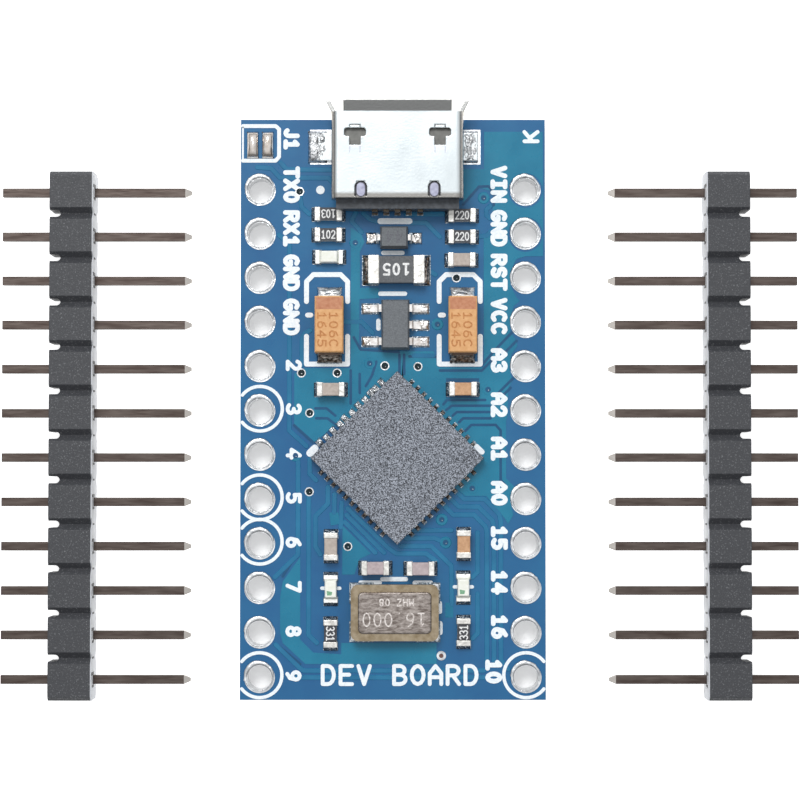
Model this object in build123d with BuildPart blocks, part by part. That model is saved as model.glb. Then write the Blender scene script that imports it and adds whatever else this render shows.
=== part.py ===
from build123d import *
import os

# A small microcontroller dev board, made as the real one is put together: a drilled and plated
# laminate, a micro-USB socket, a controller in a flat 44-lead package, its crystal, regulator,
# fuse and chip parts, and the two loose pin header strips that come with it.
# Millimetres. The origin is on the board's underside, at the middle of its length and midway
# between the two rows of pin holes. +Y points to the USB end, +Z to the side with the parts.
os.makedirs("parts", exist_ok=True)

# ---- Driving dimensions --------------------------------------------------------------------
# Board and pin holes
pin_pitch = 2.54
pins_per_row = 12
row_spacing = 15.24
side_margin = 1.13
south_margin = 1.27
north_margin = 4.09
board_thickness = 1.6
hole_diameter = 1.4
ring_diameter = 1.76
plating_wall = 0.05
copper_height = 0.04

# USB socket, measured from the board's north edge
usb_x = 0.27
usb_width = 7.5
usb_bottom_width = 5.4
usb_length = 4.92
usb_height = 2.45
usb_wall = 0.25
usb_overhang = 0.15
usb_corner = 0.4
usb_shoulder = 1.05
usb_lip_run = 0.62
usb_lip_rise = 0.32
usb_top_lip_width = 6.15
usb_bottom_lip_width = 4.6
usb_side_lip_height = 0.8
usb_window_spacing = 4.82
usb_window_setback = 0.95
usb_window_size = (1.23, 0.48)
usb_window_stem = (0.64, 0.5)
usb_window_corner = 0.15
usb_mark_length = 0.2
usb_mark_line = 0.05
usb_arch_spacing = 4.16
usb_arch_size = (0.71, 0.85)
usb_arch_gap = 0.1
usb_arch_sink = 0.08
usb_tab_length = 1.6
usb_tab_reach = 0.85
usb_tab_from_front = 1.74
usb_back_block = 1.1
usb_back_overhang = 0.55
usb_back_height = 1.7
tongue_width = 3.7
tongue_height = 0.6
tongue_setback = 0.7
tongue_z = 1.2
contact_count = 5
contact_pitch = 0.65
contact_width = 0.3
contact_sheet = 0.12
contact_tail = 0.18
contact_front_inset = 0.3

# Controller package, turned 45 degrees
mcu_x = 0.25
mcu_below_rows_centre = 1.42
mcu_turn = 45
mcu_size = 7.0
mcu_height = 0.9
mcu_leads_per_side = 11
mcu_lead_pitch = 0.5
mcu_lead_size = (0.45, 0.24, 0.2)
mcu_lead_proud = 0.03
mcu_pad_reach = 0.32
mcu_heat_pad_size = 5.2
mcu_heat_pad_height = 0.2
mcu_die_size = 3.6
mcu_die_height = 0.28
mcu_edge = 0.04

# Crystal, measured from the board's south edge
crystal_x = 0.11
crystal_from_south = 5.0
crystal_size = (5.0, 3.2)
crystal_base_height = 0.78
crystal_corner = 0.42
crystal_cavity_size = (3.7, 2.0)
crystal_cavity_depth = 0.48
crystal_ledge = (0.6, 0.2)
crystal_ring_height = 0.12
crystal_lid_size = (4.18, 2.38)
crystal_lid_height = 0.2
crystal_lid_corner = 0.28
crystal_blank_size = (3.2, 1.5, 0.08)
crystal_blank_clearance = 0.1
crystal_terminal_size = (1.2, 1.0, 0.06)

# Voltage regulator, diode and fuse, measured from the north edge
regulator_x = 0.15
regulator_from_north = 11.86
regulator_size = (1.6, 2.85, 1.05)
regulator_lead_pitch = 0.95
regulator_lead_width = 0.42
regulator_toe = 1.45
diode_x = 0.07
diode_from_north = 6.85
diode_size = (1.6, 1.25, 0.9)
diode_lead_width = 0.34
diode_toe = 1.28
package_standoff = 0.08
package_edge = 0.1
package_draft_depth = 0.45
lead_sheet = 0.14
lead_root = 0.2
lead_knee = 0.16
lead_bend = 0.11
fuse_x = 0.2
fuse_from_north = 8.7
fuse_size = (3.25, 1.64, 0.85)
fuse_cap_length = 0.65
fuse_cap_wall = 0.06

# Tantalum capacitors
tantalum_left_x = -3.63
tantalum_right_x = 3.99
tantalum_from_north = 11.89
tantalum_size = (1.62, 3.2, 1.6)
tantalum_edge = 0.07
tantalum_terminal_width = 1.2
tantalum_terminal_sheet = 0.12
tantalum_terminal_rise = 0.9
tantalum_terminal_fold = 0.8
anode_size = (1.0, 1.9, 0.9)

# Chip parts: 1.6 x 0.8 bodies with wrapped ends
chip_length = 1.58
chip_width = 0.8
chip_cap_length = 0.33
chip_cap_wall = 0.04
cap_rounding = 0.7
resistor_height = 0.45
capacitor_height = 0.8
lamp_base_height = 0.26
lamp_cap_length = 0.24
lamp_lens_length = 1.02
lamp_lens_height = 0.34
lamp_lens_taper = 8
lamp_lens_edge = 0.06
lamp_die_size = (0.26, 0.26, 0.1)

# Solder lands, each pair given with the distance between its middles
chip_land = (0.5, 0.84)
chip_land_spacing = 1.4
crystal_land_margin = 0.1
regulator_land = (1.0, 0.62)
diode_land = (0.7, 0.62)
diode_land_spacing = 2.46
fuse_land = (0.95, 1.76)
fuse_land_spacing = 3.0
tantalum_land = (1.4, 1.35)
tantalum_land_spacing = 3.0
contact_land_margin = (0.03, 0.06)
usb_tab_land_margin = (0.3, 0.2)
usb_tab_land_shift = -0.13
# Two bare lands for a link, in the north-west corner
link_x = -7.63
link_from_north = 1.47
link_land = (0.66, 1.5)
link_land_spacing = 0.86

# Header strips
header_height = 2.5
header_depth = 2.48
header_end_trim = 0.13
header_chamfer = 0.34
header_notch = (0.4, 0.6)
pin_size = 0.5
pin_short_length = 2.82
pin_long_length = 5.58
pin_tip_length = 0.38
pin_tip_angle = 22
strip_gap_left = 2.82
strip_gap_right = 3.63
strip_shift = -0.12

# ---- Worked out from the driving dimensions ---------------------------------------------------
row_length = pin_pitch * (pins_per_row - 1)
board_width = row_spacing + 2 * side_margin
board_length = south_margin + row_length + north_margin
north_edge = board_length / 2
south_edge = -board_length / 2
rows_y = south_edge + south_margin + row_length / 2
land_top = board_thickness + copper_height
usb_front = north_edge + usb_overhang
usb_rear = usb_front - usb_length
mcu_y = rows_y - mcu_below_rows_centre
standing = (Align.CENTER, Align.CENTER, Align.MIN)


def place(x, y, turn=0):
    """A seat on top of the solder lands, turned about Z by so many degrees."""
    return Location((x, y, land_top), (0, 0, turn))


mcu_seat = Plane(place(mcu_x, mcu_y, mcu_turn))
crystal_seat = Plane(place(crystal_x, south_edge + crystal_from_south))
regulator_seat = place(regulator_x, north_edge - regulator_from_north)
diode_seat = place(diode_x, north_edge - diode_from_north)
fuse_seat = place(fuse_x, north_edge - fuse_from_north)
tantalum_seats = {
    "tantalum_left": place(tantalum_left_x, north_edge - tantalum_from_north),
    "tantalum_right": place(tantalum_right_x, north_edge - tantalum_from_north),
}
resistor_seats = {
    "reset_resistor": place(-3.70, north_edge - 5.48),
    "power_lamp_resistor": place(-3.70, north_edge - 6.67),
    "usb_resistor_upper": place(3.97, north_edge - 5.56),
    "usb_resistor_lower": place(3.97, north_edge - 6.78),
    "receive_lamp_resistor": place(-3.56, south_edge + 3.79, 90),
    "transmit_lamp_resistor": place(4.04, south_edge + 3.88, 90),
}
capacitor_seats = {
    "usb_capacitor": place(3.94, north_edge - 8.13),
    "supply_capacitor_left": place(-3.55, mcu_y + 3.92),
    "supply_capacitor_right": place(4.01, mcu_y + 3.94),
    "core_capacitor_left": place(-3.54, south_edge + 8.77, 90),
    "core_capacitor_right": place(4.05, south_edge + 8.90, 90),
    "crystal_capacitor_left": place(-1.00, south_edge + 7.53),
    "crystal_capacitor_right": place(1.58, south_edge + 7.50),
}
lamp_seats = {
    "power_lamp": place(-3.66, north_edge - 7.94),
    "receive_lamp": place(-3.55, south_edge + 6.33, 90),
    "transmit_lamp": place(4.03, south_edge + 6.41, 90),
}

# ---- Laminate and the plated pin holes ---------------------------------------------------------
with BuildPart() as pcb_laminate:
    with BuildSketch():
        Rectangle(board_width, board_length)
        with Locations((0, rows_y)):
            with GridLocations(row_spacing, pin_pitch, 2, pins_per_row):
                Circle(hole_diameter / 2 + plating_wall, mode=Mode.SUBTRACT)
    extrude(amount=board_thickness)
    # The lower rings lie in the underside, so that the board rests flat
    with BuildSketch():
        with Locations((0, rows_y)):
            with GridLocations(row_spacing, pin_pitch, 2, pins_per_row):
                Circle(ring_diameter / 2)
    extrude(amount=copper_height, mode=Mode.SUBTRACT)
pcb_laminate.part.label = "pcb_laminate"
export_step(pcb_laminate.part, "parts/pcb_laminate.step")

for side, row_x in (("left", -row_spacing / 2), ("right", row_spacing / 2)):
    with BuildPart() as plating:
        with Locations((row_x, rows_y)):
            with GridLocations(0, pin_pitch, 1, pins_per_row):
                Cylinder(ring_diameter / 2, copper_height, align=standing)
                Cylinder(hole_diameter / 2 + plating_wall, board_thickness, align=standing)
        with Locations((row_x, rows_y, board_thickness)):
            with GridLocations(0, pin_pitch, 1, pins_per_row):
                Cylinder(ring_diameter / 2, copper_height, align=standing)
        with Locations((row_x, rows_y)):
            with GridLocations(0, pin_pitch, 1, pins_per_row):
                Cylinder(hole_diameter / 2, land_top, align=standing, mode=Mode.SUBTRACT)
    plating.part.label = f"pin_hole_plating_{side}"
    export_step(plating.part, f"parts/pin_hole_plating_{side}.step")

# ---- USB socket --------------------------------------------------------------------------------
usb_front_plane = Plane(origin=(usb_x, usb_front, land_top), x_dir=(1, 0, 0), z_dir=(0, -1, 0))
usb_top = Plane(origin=(usb_x, usb_front, land_top + usb_height), x_dir=(1, 0, 0), z_dir=(0, 0, 1))


def usb_outline():
    """The socket's section: upright sides above the shoulder, drawn in to a narrower bottom."""
    with BuildSketch(Plane.XY) as outline:
        with BuildLine():
            Polyline(
                (-usb_bottom_width / 2, 0),
                (usb_bottom_width / 2, 0),
                (usb_width / 2, usb_shoulder),
                (usb_width / 2, usb_height),
                (-usb_width / 2, usb_height),
                (-usb_width / 2, usb_shoulder),
                close=True,
            )
        make_face()
        fillet(outline.vertices(), radius=usb_corner)
    return outline.sketch


def usb_cavity():
    """The same section, drawn in by the shell's wall."""
    with BuildSketch(Plane.XY) as cavity:
        add(usb_outline())
        offset(amount=-usb_wall, mode=Mode.REPLACE)
    return cavity.sketch


with BuildPart() as usb_shell:
    with BuildSketch(usb_front_plane):
        add(usb_outline())
        add(usb_cavity(), mode=Mode.SUBTRACT)
    extrude(amount=usb_length)
    # Flared lips on the top, the bottom and both sides of the mouth
    for edge_z, rise, lip_width in (
        (usb_height - usb_wall, usb_lip_rise, usb_top_lip_width),
        (0, -usb_lip_rise, usb_bottom_lip_width),
    ):
        with BuildSketch(Plane(origin=(usb_x, usb_front, land_top), x_dir=(0, 1, 0), z_dir=(1, 0, 0))):
            with BuildLine():
                Polyline(
                    (-usb_wall, edge_z),
                    (0, edge_z),
                    (usb_lip_run, edge_z + rise),
                    (usb_lip_run, edge_z + rise + usb_wall),
                    (0, edge_z + usb_wall),
                    (-usb_wall, edge_z + usb_wall),
                    close=True,
                )
            make_face()
        extrude(amount=lip_width / 2, both=True)
    side_lip_z = land_top + (usb_shoulder + usb_height - usb_side_lip_height) / 2
    for hand in (-1, 1):
        with BuildSketch(Plane(origin=(usb_x, usb_front, side_lip_z), z_dir=(0, 0, 1))):
            with BuildLine():
                Polyline(
                    (hand * usb_width / 2, -usb_wall),
                    (hand * usb_width / 2, 0),
                    (hand * (usb_width / 2 + usb_lip_rise), usb_lip_run),
                    (hand * (usb_width / 2 + usb_lip_rise - usb_wall), usb_lip_run),
                    (hand * (usb_width / 2 - usb_wall), 0),
                    (hand * (usb_width / 2 - usb_wall), -usb_wall),
                    close=True,
                )
            make_face()
        extrude(amount=usb_side_lip_height)
    # Side tabs: down from the upright sides, then out over their solder lands
    with BuildSketch(usb_front_plane.offset(usb_tab_from_front - usb_tab_length / 2)):
        for hand in (-1, 1):
            with Locations((hand * (usb_width - usb_wall) / 2, 0)):
                Rectangle(usb_wall, usb_shoulder + usb_wall, align=(Align.CENTER, Align.MIN))
            with Locations((hand * (usb_width - usb_wall + usb_tab_reach) / 2, 0)):
                Rectangle(usb_tab_reach + usb_wall, usb_wall, align=(Align.CENTER, Align.MIN))
    extrude(amount=usb_tab_length)
    # Latch windows: a wide slot with a narrower stem behind it
    with BuildSketch(usb_top) as windows:
        with GridLocations(usb_window_spacing, 0, 2, 1):
            with Locations((0, -usb_window_setback)):
                Rectangle(*usb_window_size, align=(Align.CENTER, Align.MAX))
        fillet(windows.vertices(), radius=usb_window_corner)
        with GridLocations(usb_window_spacing, 0, 2, 1):
            with Locations((0, -usb_window_setback - usb_window_size[1])):
                Rectangle(*usb_window_stem, align=(Align.CENTER, Align.MAX))
    extrude(amount=-usb_wall, mode=Mode.SUBTRACT)
    # A thin stamped tongue mark in front of each window
    with BuildSketch(usb_top):
        with GridLocations(usb_window_spacing, 0, 2, 1):
            with Locations((0, -usb_window_setback)):
                Rectangle(usb_window_stem[0], usb_mark_length, align=(Align.CENTER, Align.MIN))
                Rectangle(
                    usb_window_stem[0] - 2 * usb_mark_line,
                    usb_mark_length - usb_mark_line,
                    align=(Align.CENTER, Align.MIN),
                    mode=Mode.SUBTRACT,
                )
    extrude(amount=-usb_wall / 2, mode=Mode.SUBTRACT)
    # Stamped arches at the rear: a tab sunk below the top, with an arched gap around it
    arch_width, arch_length = usb_arch_size
    with BuildSketch(usb_top) as arches:
        with GridLocations(usb_arch_spacing, 0, 2, 1):
            with Locations((0, usb_arch_gap - usb_length)):
                Rectangle(arch_width, arch_length - arch_width / 2, align=(Align.CENTER, Align.MIN))
            with Locations((0, usb_arch_gap - usb_length + arch_length - arch_width / 2)):
                Circle(arch_width / 2)
                Circle(arch_width / 2 - usb_arch_gap, mode=Mode.SUBTRACT)
            with Locations((0, usb_arch_gap - usb_length)):
                Rectangle(
                    arch_width - 2 * usb_arch_gap,
                    arch_length - arch_width / 2,
                    align=(Align.CENTER, Align.MIN),
                    mode=Mode.SUBTRACT,
                )
    extrude(amount=-usb_wall, mode=Mode.SUBTRACT)
    with BuildSketch(usb_top):
        with GridLocations(usb_arch_spacing, 0, 2, 1):
            with Locations((0, -usb_length)):
                Rectangle(
                    arch_width - 2 * usb_arch_gap,
                    usb_arch_gap + arch_length,
                    align=(Align.CENTER, Align.MIN),
                )
    extrude(amount=-usb_arch_sink, mode=Mode.SUBTRACT)
usb_shell.part.label = "usb_shell"
export_step(usb_shell.part, "parts/usb_shell.step")

# Contacts: along the underside of the tongue, back through the insulator and down to the board
with BuildPart() as usb_contacts:
    contact_first = usb_x - contact_pitch * (contact_count - 1) / 2
    contact_front = usb_front - tongue_setback - contact_front_inset
    contact_back = usb_rear - usb_back_overhang - contact_sheet
    for number in range(contact_count):
        contact_x = contact_first + number * contact_pitch
        contact_plane = Plane(origin=(contact_x, 0, land_top), x_dir=(0, 1, 0), z_dir=(1, 0, 0))
        with BuildSketch(contact_plane):
            with BuildLine():
                Polyline(
                    (contact_front, tongue_z),
                    (contact_back, tongue_z),
                    (contact_back, contact_sheet),
                    (contact_back + contact_sheet - contact_tail, contact_sheet),
                    (contact_back + contact_sheet - contact_tail, 0),
                    (contact_back + contact_sheet, 0),
                    (contact_back + contact_sheet, tongue_z - contact_sheet),
                    (contact_front, tongue_z - contact_sheet),
                    close=True,
                )
            make_face()
        extrude(amount=contact_width / 2, both=True)
usb_contacts.part.label = "usb_contacts"
export_step(usb_contacts.part, "parts/usb_contacts.step")

with BuildPart() as usb_insulator:
    with BuildSketch(usb_front_plane.offset(usb_length - usb_back_block)):
        add(usb_cavity())
    extrude(amount=usb_back_block)
    with BuildSketch(usb_front_plane.offset(usb_length)):
        add(usb_cavity())
        with Locations((0, usb_back_height)):
            Rectangle(usb_width, usb_height, align=(Align.CENTER, Align.MIN), mode=Mode.SUBTRACT)
    extrude(amount=usb_back_overhang)
    with Locations((usb_x, usb_front - tongue_setback, land_top + tongue_z)):
        Box(
            tongue_width,
            usb_length - usb_back_block - tongue_setback,
            tongue_height,
            align=(Align.CENTER, Align.MAX, Align.MIN),
        )
    add(usb_contacts.part, mode=Mode.SUBTRACT)
usb_insulator.part.label = "usb_insulator"
export_step(usb_insulator.part, "parts/usb_insulator.step")

# ---- Controller ----------------------------------------------------------------------------------
lead_length, lead_width, lead_height = mcu_lead_size
with BuildPart() as mcu_leads:
    with BuildSketch(mcu_seat):
        with PolarLocations((mcu_size - lead_length) / 2 + mcu_lead_proud, 4):
            with GridLocations(0, mcu_lead_pitch, 1, mcu_leads_per_side):
                Rectangle(lead_length, lead_width)
    extrude(amount=lead_height)
mcu_leads.part.label = "mcu_leads"
export_step(mcu_leads.part, "parts/mcu_leads.step")

with BuildPart() as mcu_heat_pad:
    with BuildSketch(mcu_seat):
        Rectangle(mcu_heat_pad_size, mcu_heat_pad_size)
    extrude(amount=mcu_heat_pad_height)
mcu_heat_pad.part.label = "mcu_heat_pad"
export_step(mcu_heat_pad.part, "parts/mcu_heat_pad.step")

with BuildPart() as mcu_die:
    with BuildSketch(mcu_seat.offset(mcu_heat_pad_height)):
        Rectangle(mcu_die_size, mcu_die_size)
    extrude(amount=mcu_die_height)
mcu_die.part.label = "mcu_die"
export_step(mcu_die.part, "parts/mcu_die.step")

with BuildPart() as mcu_package:
    with BuildSketch(mcu_seat):
        Rectangle(mcu_size, mcu_size)
    extrude(amount=mcu_height)
    chamfer(mcu_package.faces().sort_by(Axis.Z)[-1].edges(), length=mcu_edge)
    add(mcu_leads.part, mode=Mode.SUBTRACT)
    add(mcu_heat_pad.part, mode=Mode.SUBTRACT)
    add(mcu_die.part, mode=Mode.SUBTRACT)
mcu_package.part.label = "mcu_package"
export_step(mcu_package.part, "parts/mcu_package.step")

# ---- Crystal -------------------------------------------------------------------------------------
crystal_length, crystal_width = crystal_size
terminal_length, terminal_width, terminal_height = crystal_terminal_size
cavity_floor = crystal_base_height - crystal_cavity_depth
ledge_length, ledge_height = crystal_ledge
with BuildPart() as crystal_terminals:
    with BuildSketch(crystal_seat):
        with GridLocations(crystal_length - terminal_length, crystal_width - terminal_width, 2, 2):
            Rectangle(terminal_length, terminal_width)
    extrude(amount=terminal_height)
crystal_terminals.part.label = "crystal_terminals"
export_step(crystal_terminals.part, "parts/crystal_terminals.step")

with BuildPart() as crystal_base:
    with BuildSketch(crystal_seat):
        RectangleRounded(crystal_length, crystal_width, crystal_corner)
    extrude(amount=crystal_base_height)
    with BuildSketch(crystal_seat.offset(cavity_floor)):
        RectangleRounded(*crystal_cavity_size, crystal_corner / 2)
    extrude(amount=crystal_cavity_depth, mode=Mode.SUBTRACT)
    with BuildSketch(crystal_seat.offset(cavity_floor)):
        with Locations((-crystal_cavity_size[0] / 2, 0)):
            Rectangle(ledge_length, crystal_cavity_size[1], align=(Align.MIN, Align.CENTER))
    extrude(amount=ledge_height)
    add(crystal_terminals.part, mode=Mode.SUBTRACT)
crystal_base.part.label = "crystal_base"
export_step(crystal_base.part, "parts/crystal_base.step")

with BuildPart() as crystal_blank:
    with BuildSketch(crystal_seat.offset(cavity_floor + ledge_height)):
        with Locations((crystal_blank_clearance - crystal_cavity_size[0] / 2, 0)):
            Rectangle(*crystal_blank_size[:2], align=(Align.MIN, Align.CENTER))
    extrude(amount=crystal_blank_size[2])
crystal_blank.part.label = "crystal_blank"
export_step(crystal_blank.part, "parts/crystal_blank.step")

with BuildPart() as crystal_seal_ring:
    with BuildSketch(crystal_seat.offset(crystal_base_height)):
        RectangleRounded(crystal_length, crystal_width, crystal_corner)
        RectangleRounded(*crystal_cavity_size, crystal_corner / 2, mode=Mode.SUBTRACT)
    extrude(amount=crystal_ring_height)
crystal_seal_ring.part.label = "crystal_seal_ring"
export_step(crystal_seal_ring.part, "parts/crystal_seal_ring.step")

with BuildPart() as crystal_lid:
    with BuildSketch(crystal_seat.offset(crystal_base_height + crystal_ring_height)):
        RectangleRounded(*crystal_lid_size, crystal_lid_corner)
    extrude(amount=crystal_lid_height)
    fillet(crystal_lid.faces().sort_by(Axis.Z)[-1].edges(), radius=crystal_lid_height / 2)
crystal_lid.part.label = "crystal_lid"
export_step(crystal_lid.part, "parts/crystal_lid.step")


# ---- Regulator and diode: moulded bodies with gull-wing leads -----------------------------------
def gull_lead(body_half, body_height, toe, width):
    """One lead along +X: out of the body at mid height, down past its side and out to the toe."""
    middle = lead_sheet / 2
    knee = body_half + lead_knee
    with BuildPart() as lead:
        with BuildSketch(Plane.XZ):
            with BuildLine():
                Polyline(
                    (body_half - lead_root, body_height / 2 + middle),
                    (knee + middle, body_height / 2 + middle),
                    (knee + middle, lead_sheet),
                    (toe, lead_sheet),
                    (toe, 0),
                    (knee - middle, 0),
                    (knee - middle, body_height / 2 - middle),
                    (body_half - lead_root, body_height / 2 - middle),
                    close=True,
                )
            make_face()
        extrude(amount=width / 2, both=True)
        outer_corner = lead.edges().filter_by(Axis.Y).filter_by_position(
            Axis.X, knee + middle - 0.01, knee + middle + 0.01
        )
        fillet(outer_corner.sort_by(Axis.Z)[-1], radius=lead_bend)
    return lead.part


def moulded_body(size):
    """A moulded body above its standoff, drafted in at its top edges."""
    length, width, height = size
    with BuildPart() as body:
        with Locations((0, 0, package_standoff)):
            Box(length, width, height, align=standing)
        chamfer(
            body.faces().sort_by(Axis.Z)[-1].edges(),
            length=height * package_draft_depth,
            length2=package_edge,
        )
    return body.part


regulator_lead = gull_lead(
    regulator_size[0] / 2, regulator_size[2] + package_standoff, regulator_toe, regulator_lead_width
)
with BuildPart() as regulator_leads:
    with Locations(regulator_seat):
        with GridLocations(0, regulator_lead_pitch, 1, 3):
            add(regulator_lead)
        with GridLocations(0, 2 * regulator_lead_pitch, 1, 2):
            add(regulator_lead, rotation=(0, 0, 180))
regulator_leads.part.label = "regulator_leads"
export_step(regulator_leads.part, "parts/regulator_leads.step")

with BuildPart() as regulator_body:
    with Locations(regulator_seat):
        add(moulded_body(regulator_size))
    add(regulator_leads.part, mode=Mode.SUBTRACT)
regulator_body.part.label = "regulator_body"
export_step(regulator_body.part, "parts/regulator_body.step")

diode_lead = gull_lead(diode_size[0] / 2, diode_size[2] + package_standoff, diode_toe, diode_lead_width)
with BuildPart() as diode_leads:
    with Locations(diode_seat):
        add(diode_lead)
        add(diode_lead, rotation=(0, 0, 180))
diode_leads.part.label = "diode_leads"
export_step(diode_leads.part, "parts/diode_leads.step")

with BuildPart() as diode_body:
    with Locations(diode_seat):
        add(moulded_body(diode_size))
    add(diode_leads.part, mode=Mode.SUBTRACT)
diode_body.part.label = "diode_body"
export_step(diode_body.part, "parts/diode_body.step")


# ---- Chips with wrapped ends ---------------------------------------------------------------------
def wrapped_body(length, width, height, wall):
    """A chip's inner body, which its end caps wrap with the given wall."""
    with BuildPart() as body:
        with Locations((0, 0, wall)):
            Box(length - 2 * wall, width - 2 * wall, height - 2 * wall, align=standing)
    return body.part


def wrapped_ends(length, width, height, wall, cap_length):
    """The two end caps of a chip, hollow where its body fits."""
    with BuildPart() as ends:
        with GridLocations(length - cap_length, 0, 2, 1):
            Box(cap_length, width, height, align=standing)
        fillet(ends.edges(), radius=wall * cap_rounding)
        add(wrapped_body(length, width, height, wall), mode=Mode.SUBTRACT)
    return ends.part


with BuildPart() as fuse_body:
    with Locations(fuse_seat):
        add(wrapped_body(*fuse_size, fuse_cap_wall))
fuse_body.part.label = "fuse_body"
export_step(fuse_body.part, "parts/fuse_body.step")

with BuildPart() as fuse_end_caps:
    with Locations(fuse_seat):
        add(wrapped_ends(*fuse_size, fuse_cap_wall, fuse_cap_length))
fuse_end_caps.part.label = "fuse_end_caps"
export_step(fuse_end_caps.part, "parts/fuse_end_caps.step")

for name, seat in resistor_seats.items():
    with BuildPart() as resistor:
        with Locations(seat):
            add(wrapped_body(chip_length, chip_width, resistor_height, chip_cap_wall))
    resistor.part.label = name
    export_step(resistor.part, f"parts/{name}.step")

# The dark coat over each resistor's film, between its end caps
with BuildPart() as resistor_coats:
    for seat in resistor_seats.values():
        with Locations(seat * Location((0, 0, resistor_height - chip_cap_wall))):
            Box(
                chip_length - 2 * chip_cap_length,
                chip_width - 2 * chip_cap_wall,
                chip_cap_wall,
                align=standing,
            )
resistor_coats.part.label = "resistor_coats"
export_step(resistor_coats.part, "parts/resistor_coats.step")

resistor_ends = wrapped_ends(chip_length, chip_width, resistor_height, chip_cap_wall, chip_cap_length)
with BuildPart() as resistor_end_caps:
    with Locations(*resistor_seats.values()):
        add(resistor_ends)
resistor_end_caps.part.label = "resistor_end_caps"
export_step(resistor_end_caps.part, "parts/resistor_end_caps.step")

for name, seat in capacitor_seats.items():
    with BuildPart() as capacitor:
        with Locations(seat):
            add(wrapped_body(chip_length, chip_width, capacitor_height, chip_cap_wall))
    capacitor.part.label = name
    export_step(capacitor.part, f"parts/{name}.step")

capacitor_ends = wrapped_ends(
    chip_length, chip_width, capacitor_height, chip_cap_wall, chip_cap_length
)
with BuildPart() as capacitor_end_caps:
    with Locations(*capacitor_seats.values()):
        add(capacitor_ends)
capacitor_end_caps.part.label = "capacitor_end_caps"
export_step(capacitor_end_caps.part, "parts/capacitor_end_caps.step")

# ---- Chip lamps ----------------------------------------------------------------------------------
with BuildPart() as lamp_dies:
    for seat in lamp_seats.values():
        with Locations(seat * Location((0, 0, lamp_base_height - chip_cap_wall))):
            Box(*lamp_die_size, align=standing)
lamp_dies.part.label = "lamp_dies"
export_step(lamp_dies.part, "parts/lamp_dies.step")

lamp_ends = wrapped_ends(chip_length, chip_width, lamp_base_height, chip_cap_wall, lamp_cap_length)
with BuildPart() as lamp_terminals:
    with Locations(*lamp_seats.values()):
        add(lamp_ends)
lamp_terminals.part.label = "lamp_terminals"
export_step(lamp_terminals.part, "parts/lamp_terminals.step")

for name, seat in lamp_seats.items():
    with BuildPart() as lamp_base:
        with Locations(seat):
            add(wrapped_body(chip_length, chip_width, lamp_base_height, chip_cap_wall))
    lamp_base.part.label = f"{name}_base"
    export_step(lamp_base.part, f"parts/{name}_base.step")

    with BuildPart() as lamp_lens:
        with BuildSketch(Plane(seat).offset(lamp_base_height - chip_cap_wall)):
            Rectangle(lamp_lens_length, chip_width - 2 * chip_cap_wall)
        extrude(amount=lamp_lens_height, taper=lamp_lens_taper)
        fillet(lamp_lens.faces().sort_by(Axis.Z)[-1].edges(), radius=lamp_lens_edge)
        add(lamp_dies.part, mode=Mode.SUBTRACT)
    lamp_lens.part.label = f"{name}_lens"
    export_step(lamp_lens.part, f"parts/{name}_lens.step")

# ---- Tantalum capacitors -------------------------------------------------------------------------
with BuildPart() as tantalum_anodes:
    for seat in tantalum_seats.values():
        with Locations(seat * Location((0, 0, tantalum_size[2] / 2))):
            Box(*anode_size)
tantalum_anodes.part.label = "tantalum_anodes"
export_step(tantalum_anodes.part, "parts/tantalum_anodes.step")

body_width, body_length, body_height = tantalum_size
with BuildPart() as folded_terminals:
    for hand in (-1, 1):
        with Locations((0, hand * (body_length + tantalum_terminal_sheet) / 2)):
            Box(
                tantalum_terminal_width,
                tantalum_terminal_sheet,
                tantalum_terminal_rise,
                align=standing,
            )
        with Locations((0, hand * (body_length - tantalum_terminal_fold) / 2)):
            Box(
                tantalum_terminal_width,
                tantalum_terminal_fold,
                tantalum_terminal_sheet,
                align=standing,
            )
for name, seat in tantalum_seats.items():
    with BuildPart() as terminals:
        with Locations(seat):
            add(folded_terminals.part)
    terminals.part.label = f"{name}_terminals"
    export_step(terminals.part, f"parts/{name}_terminals.step")

    with BuildPart() as tantalum_body:
        with Locations(seat):
            Box(body_width, body_length, body_height, align=standing)
        chamfer(tantalum_body.faces().sort_by(Axis.Z)[-1].edges(), length=tantalum_edge)
        add(terminals.part, mode=Mode.SUBTRACT)
        add(tantalum_anodes.part, mode=Mode.SUBTRACT)
    tantalum_body.part.label = f"{name}_body"
    export_step(tantalum_body.part, f"parts/{name}_body.step")

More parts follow.
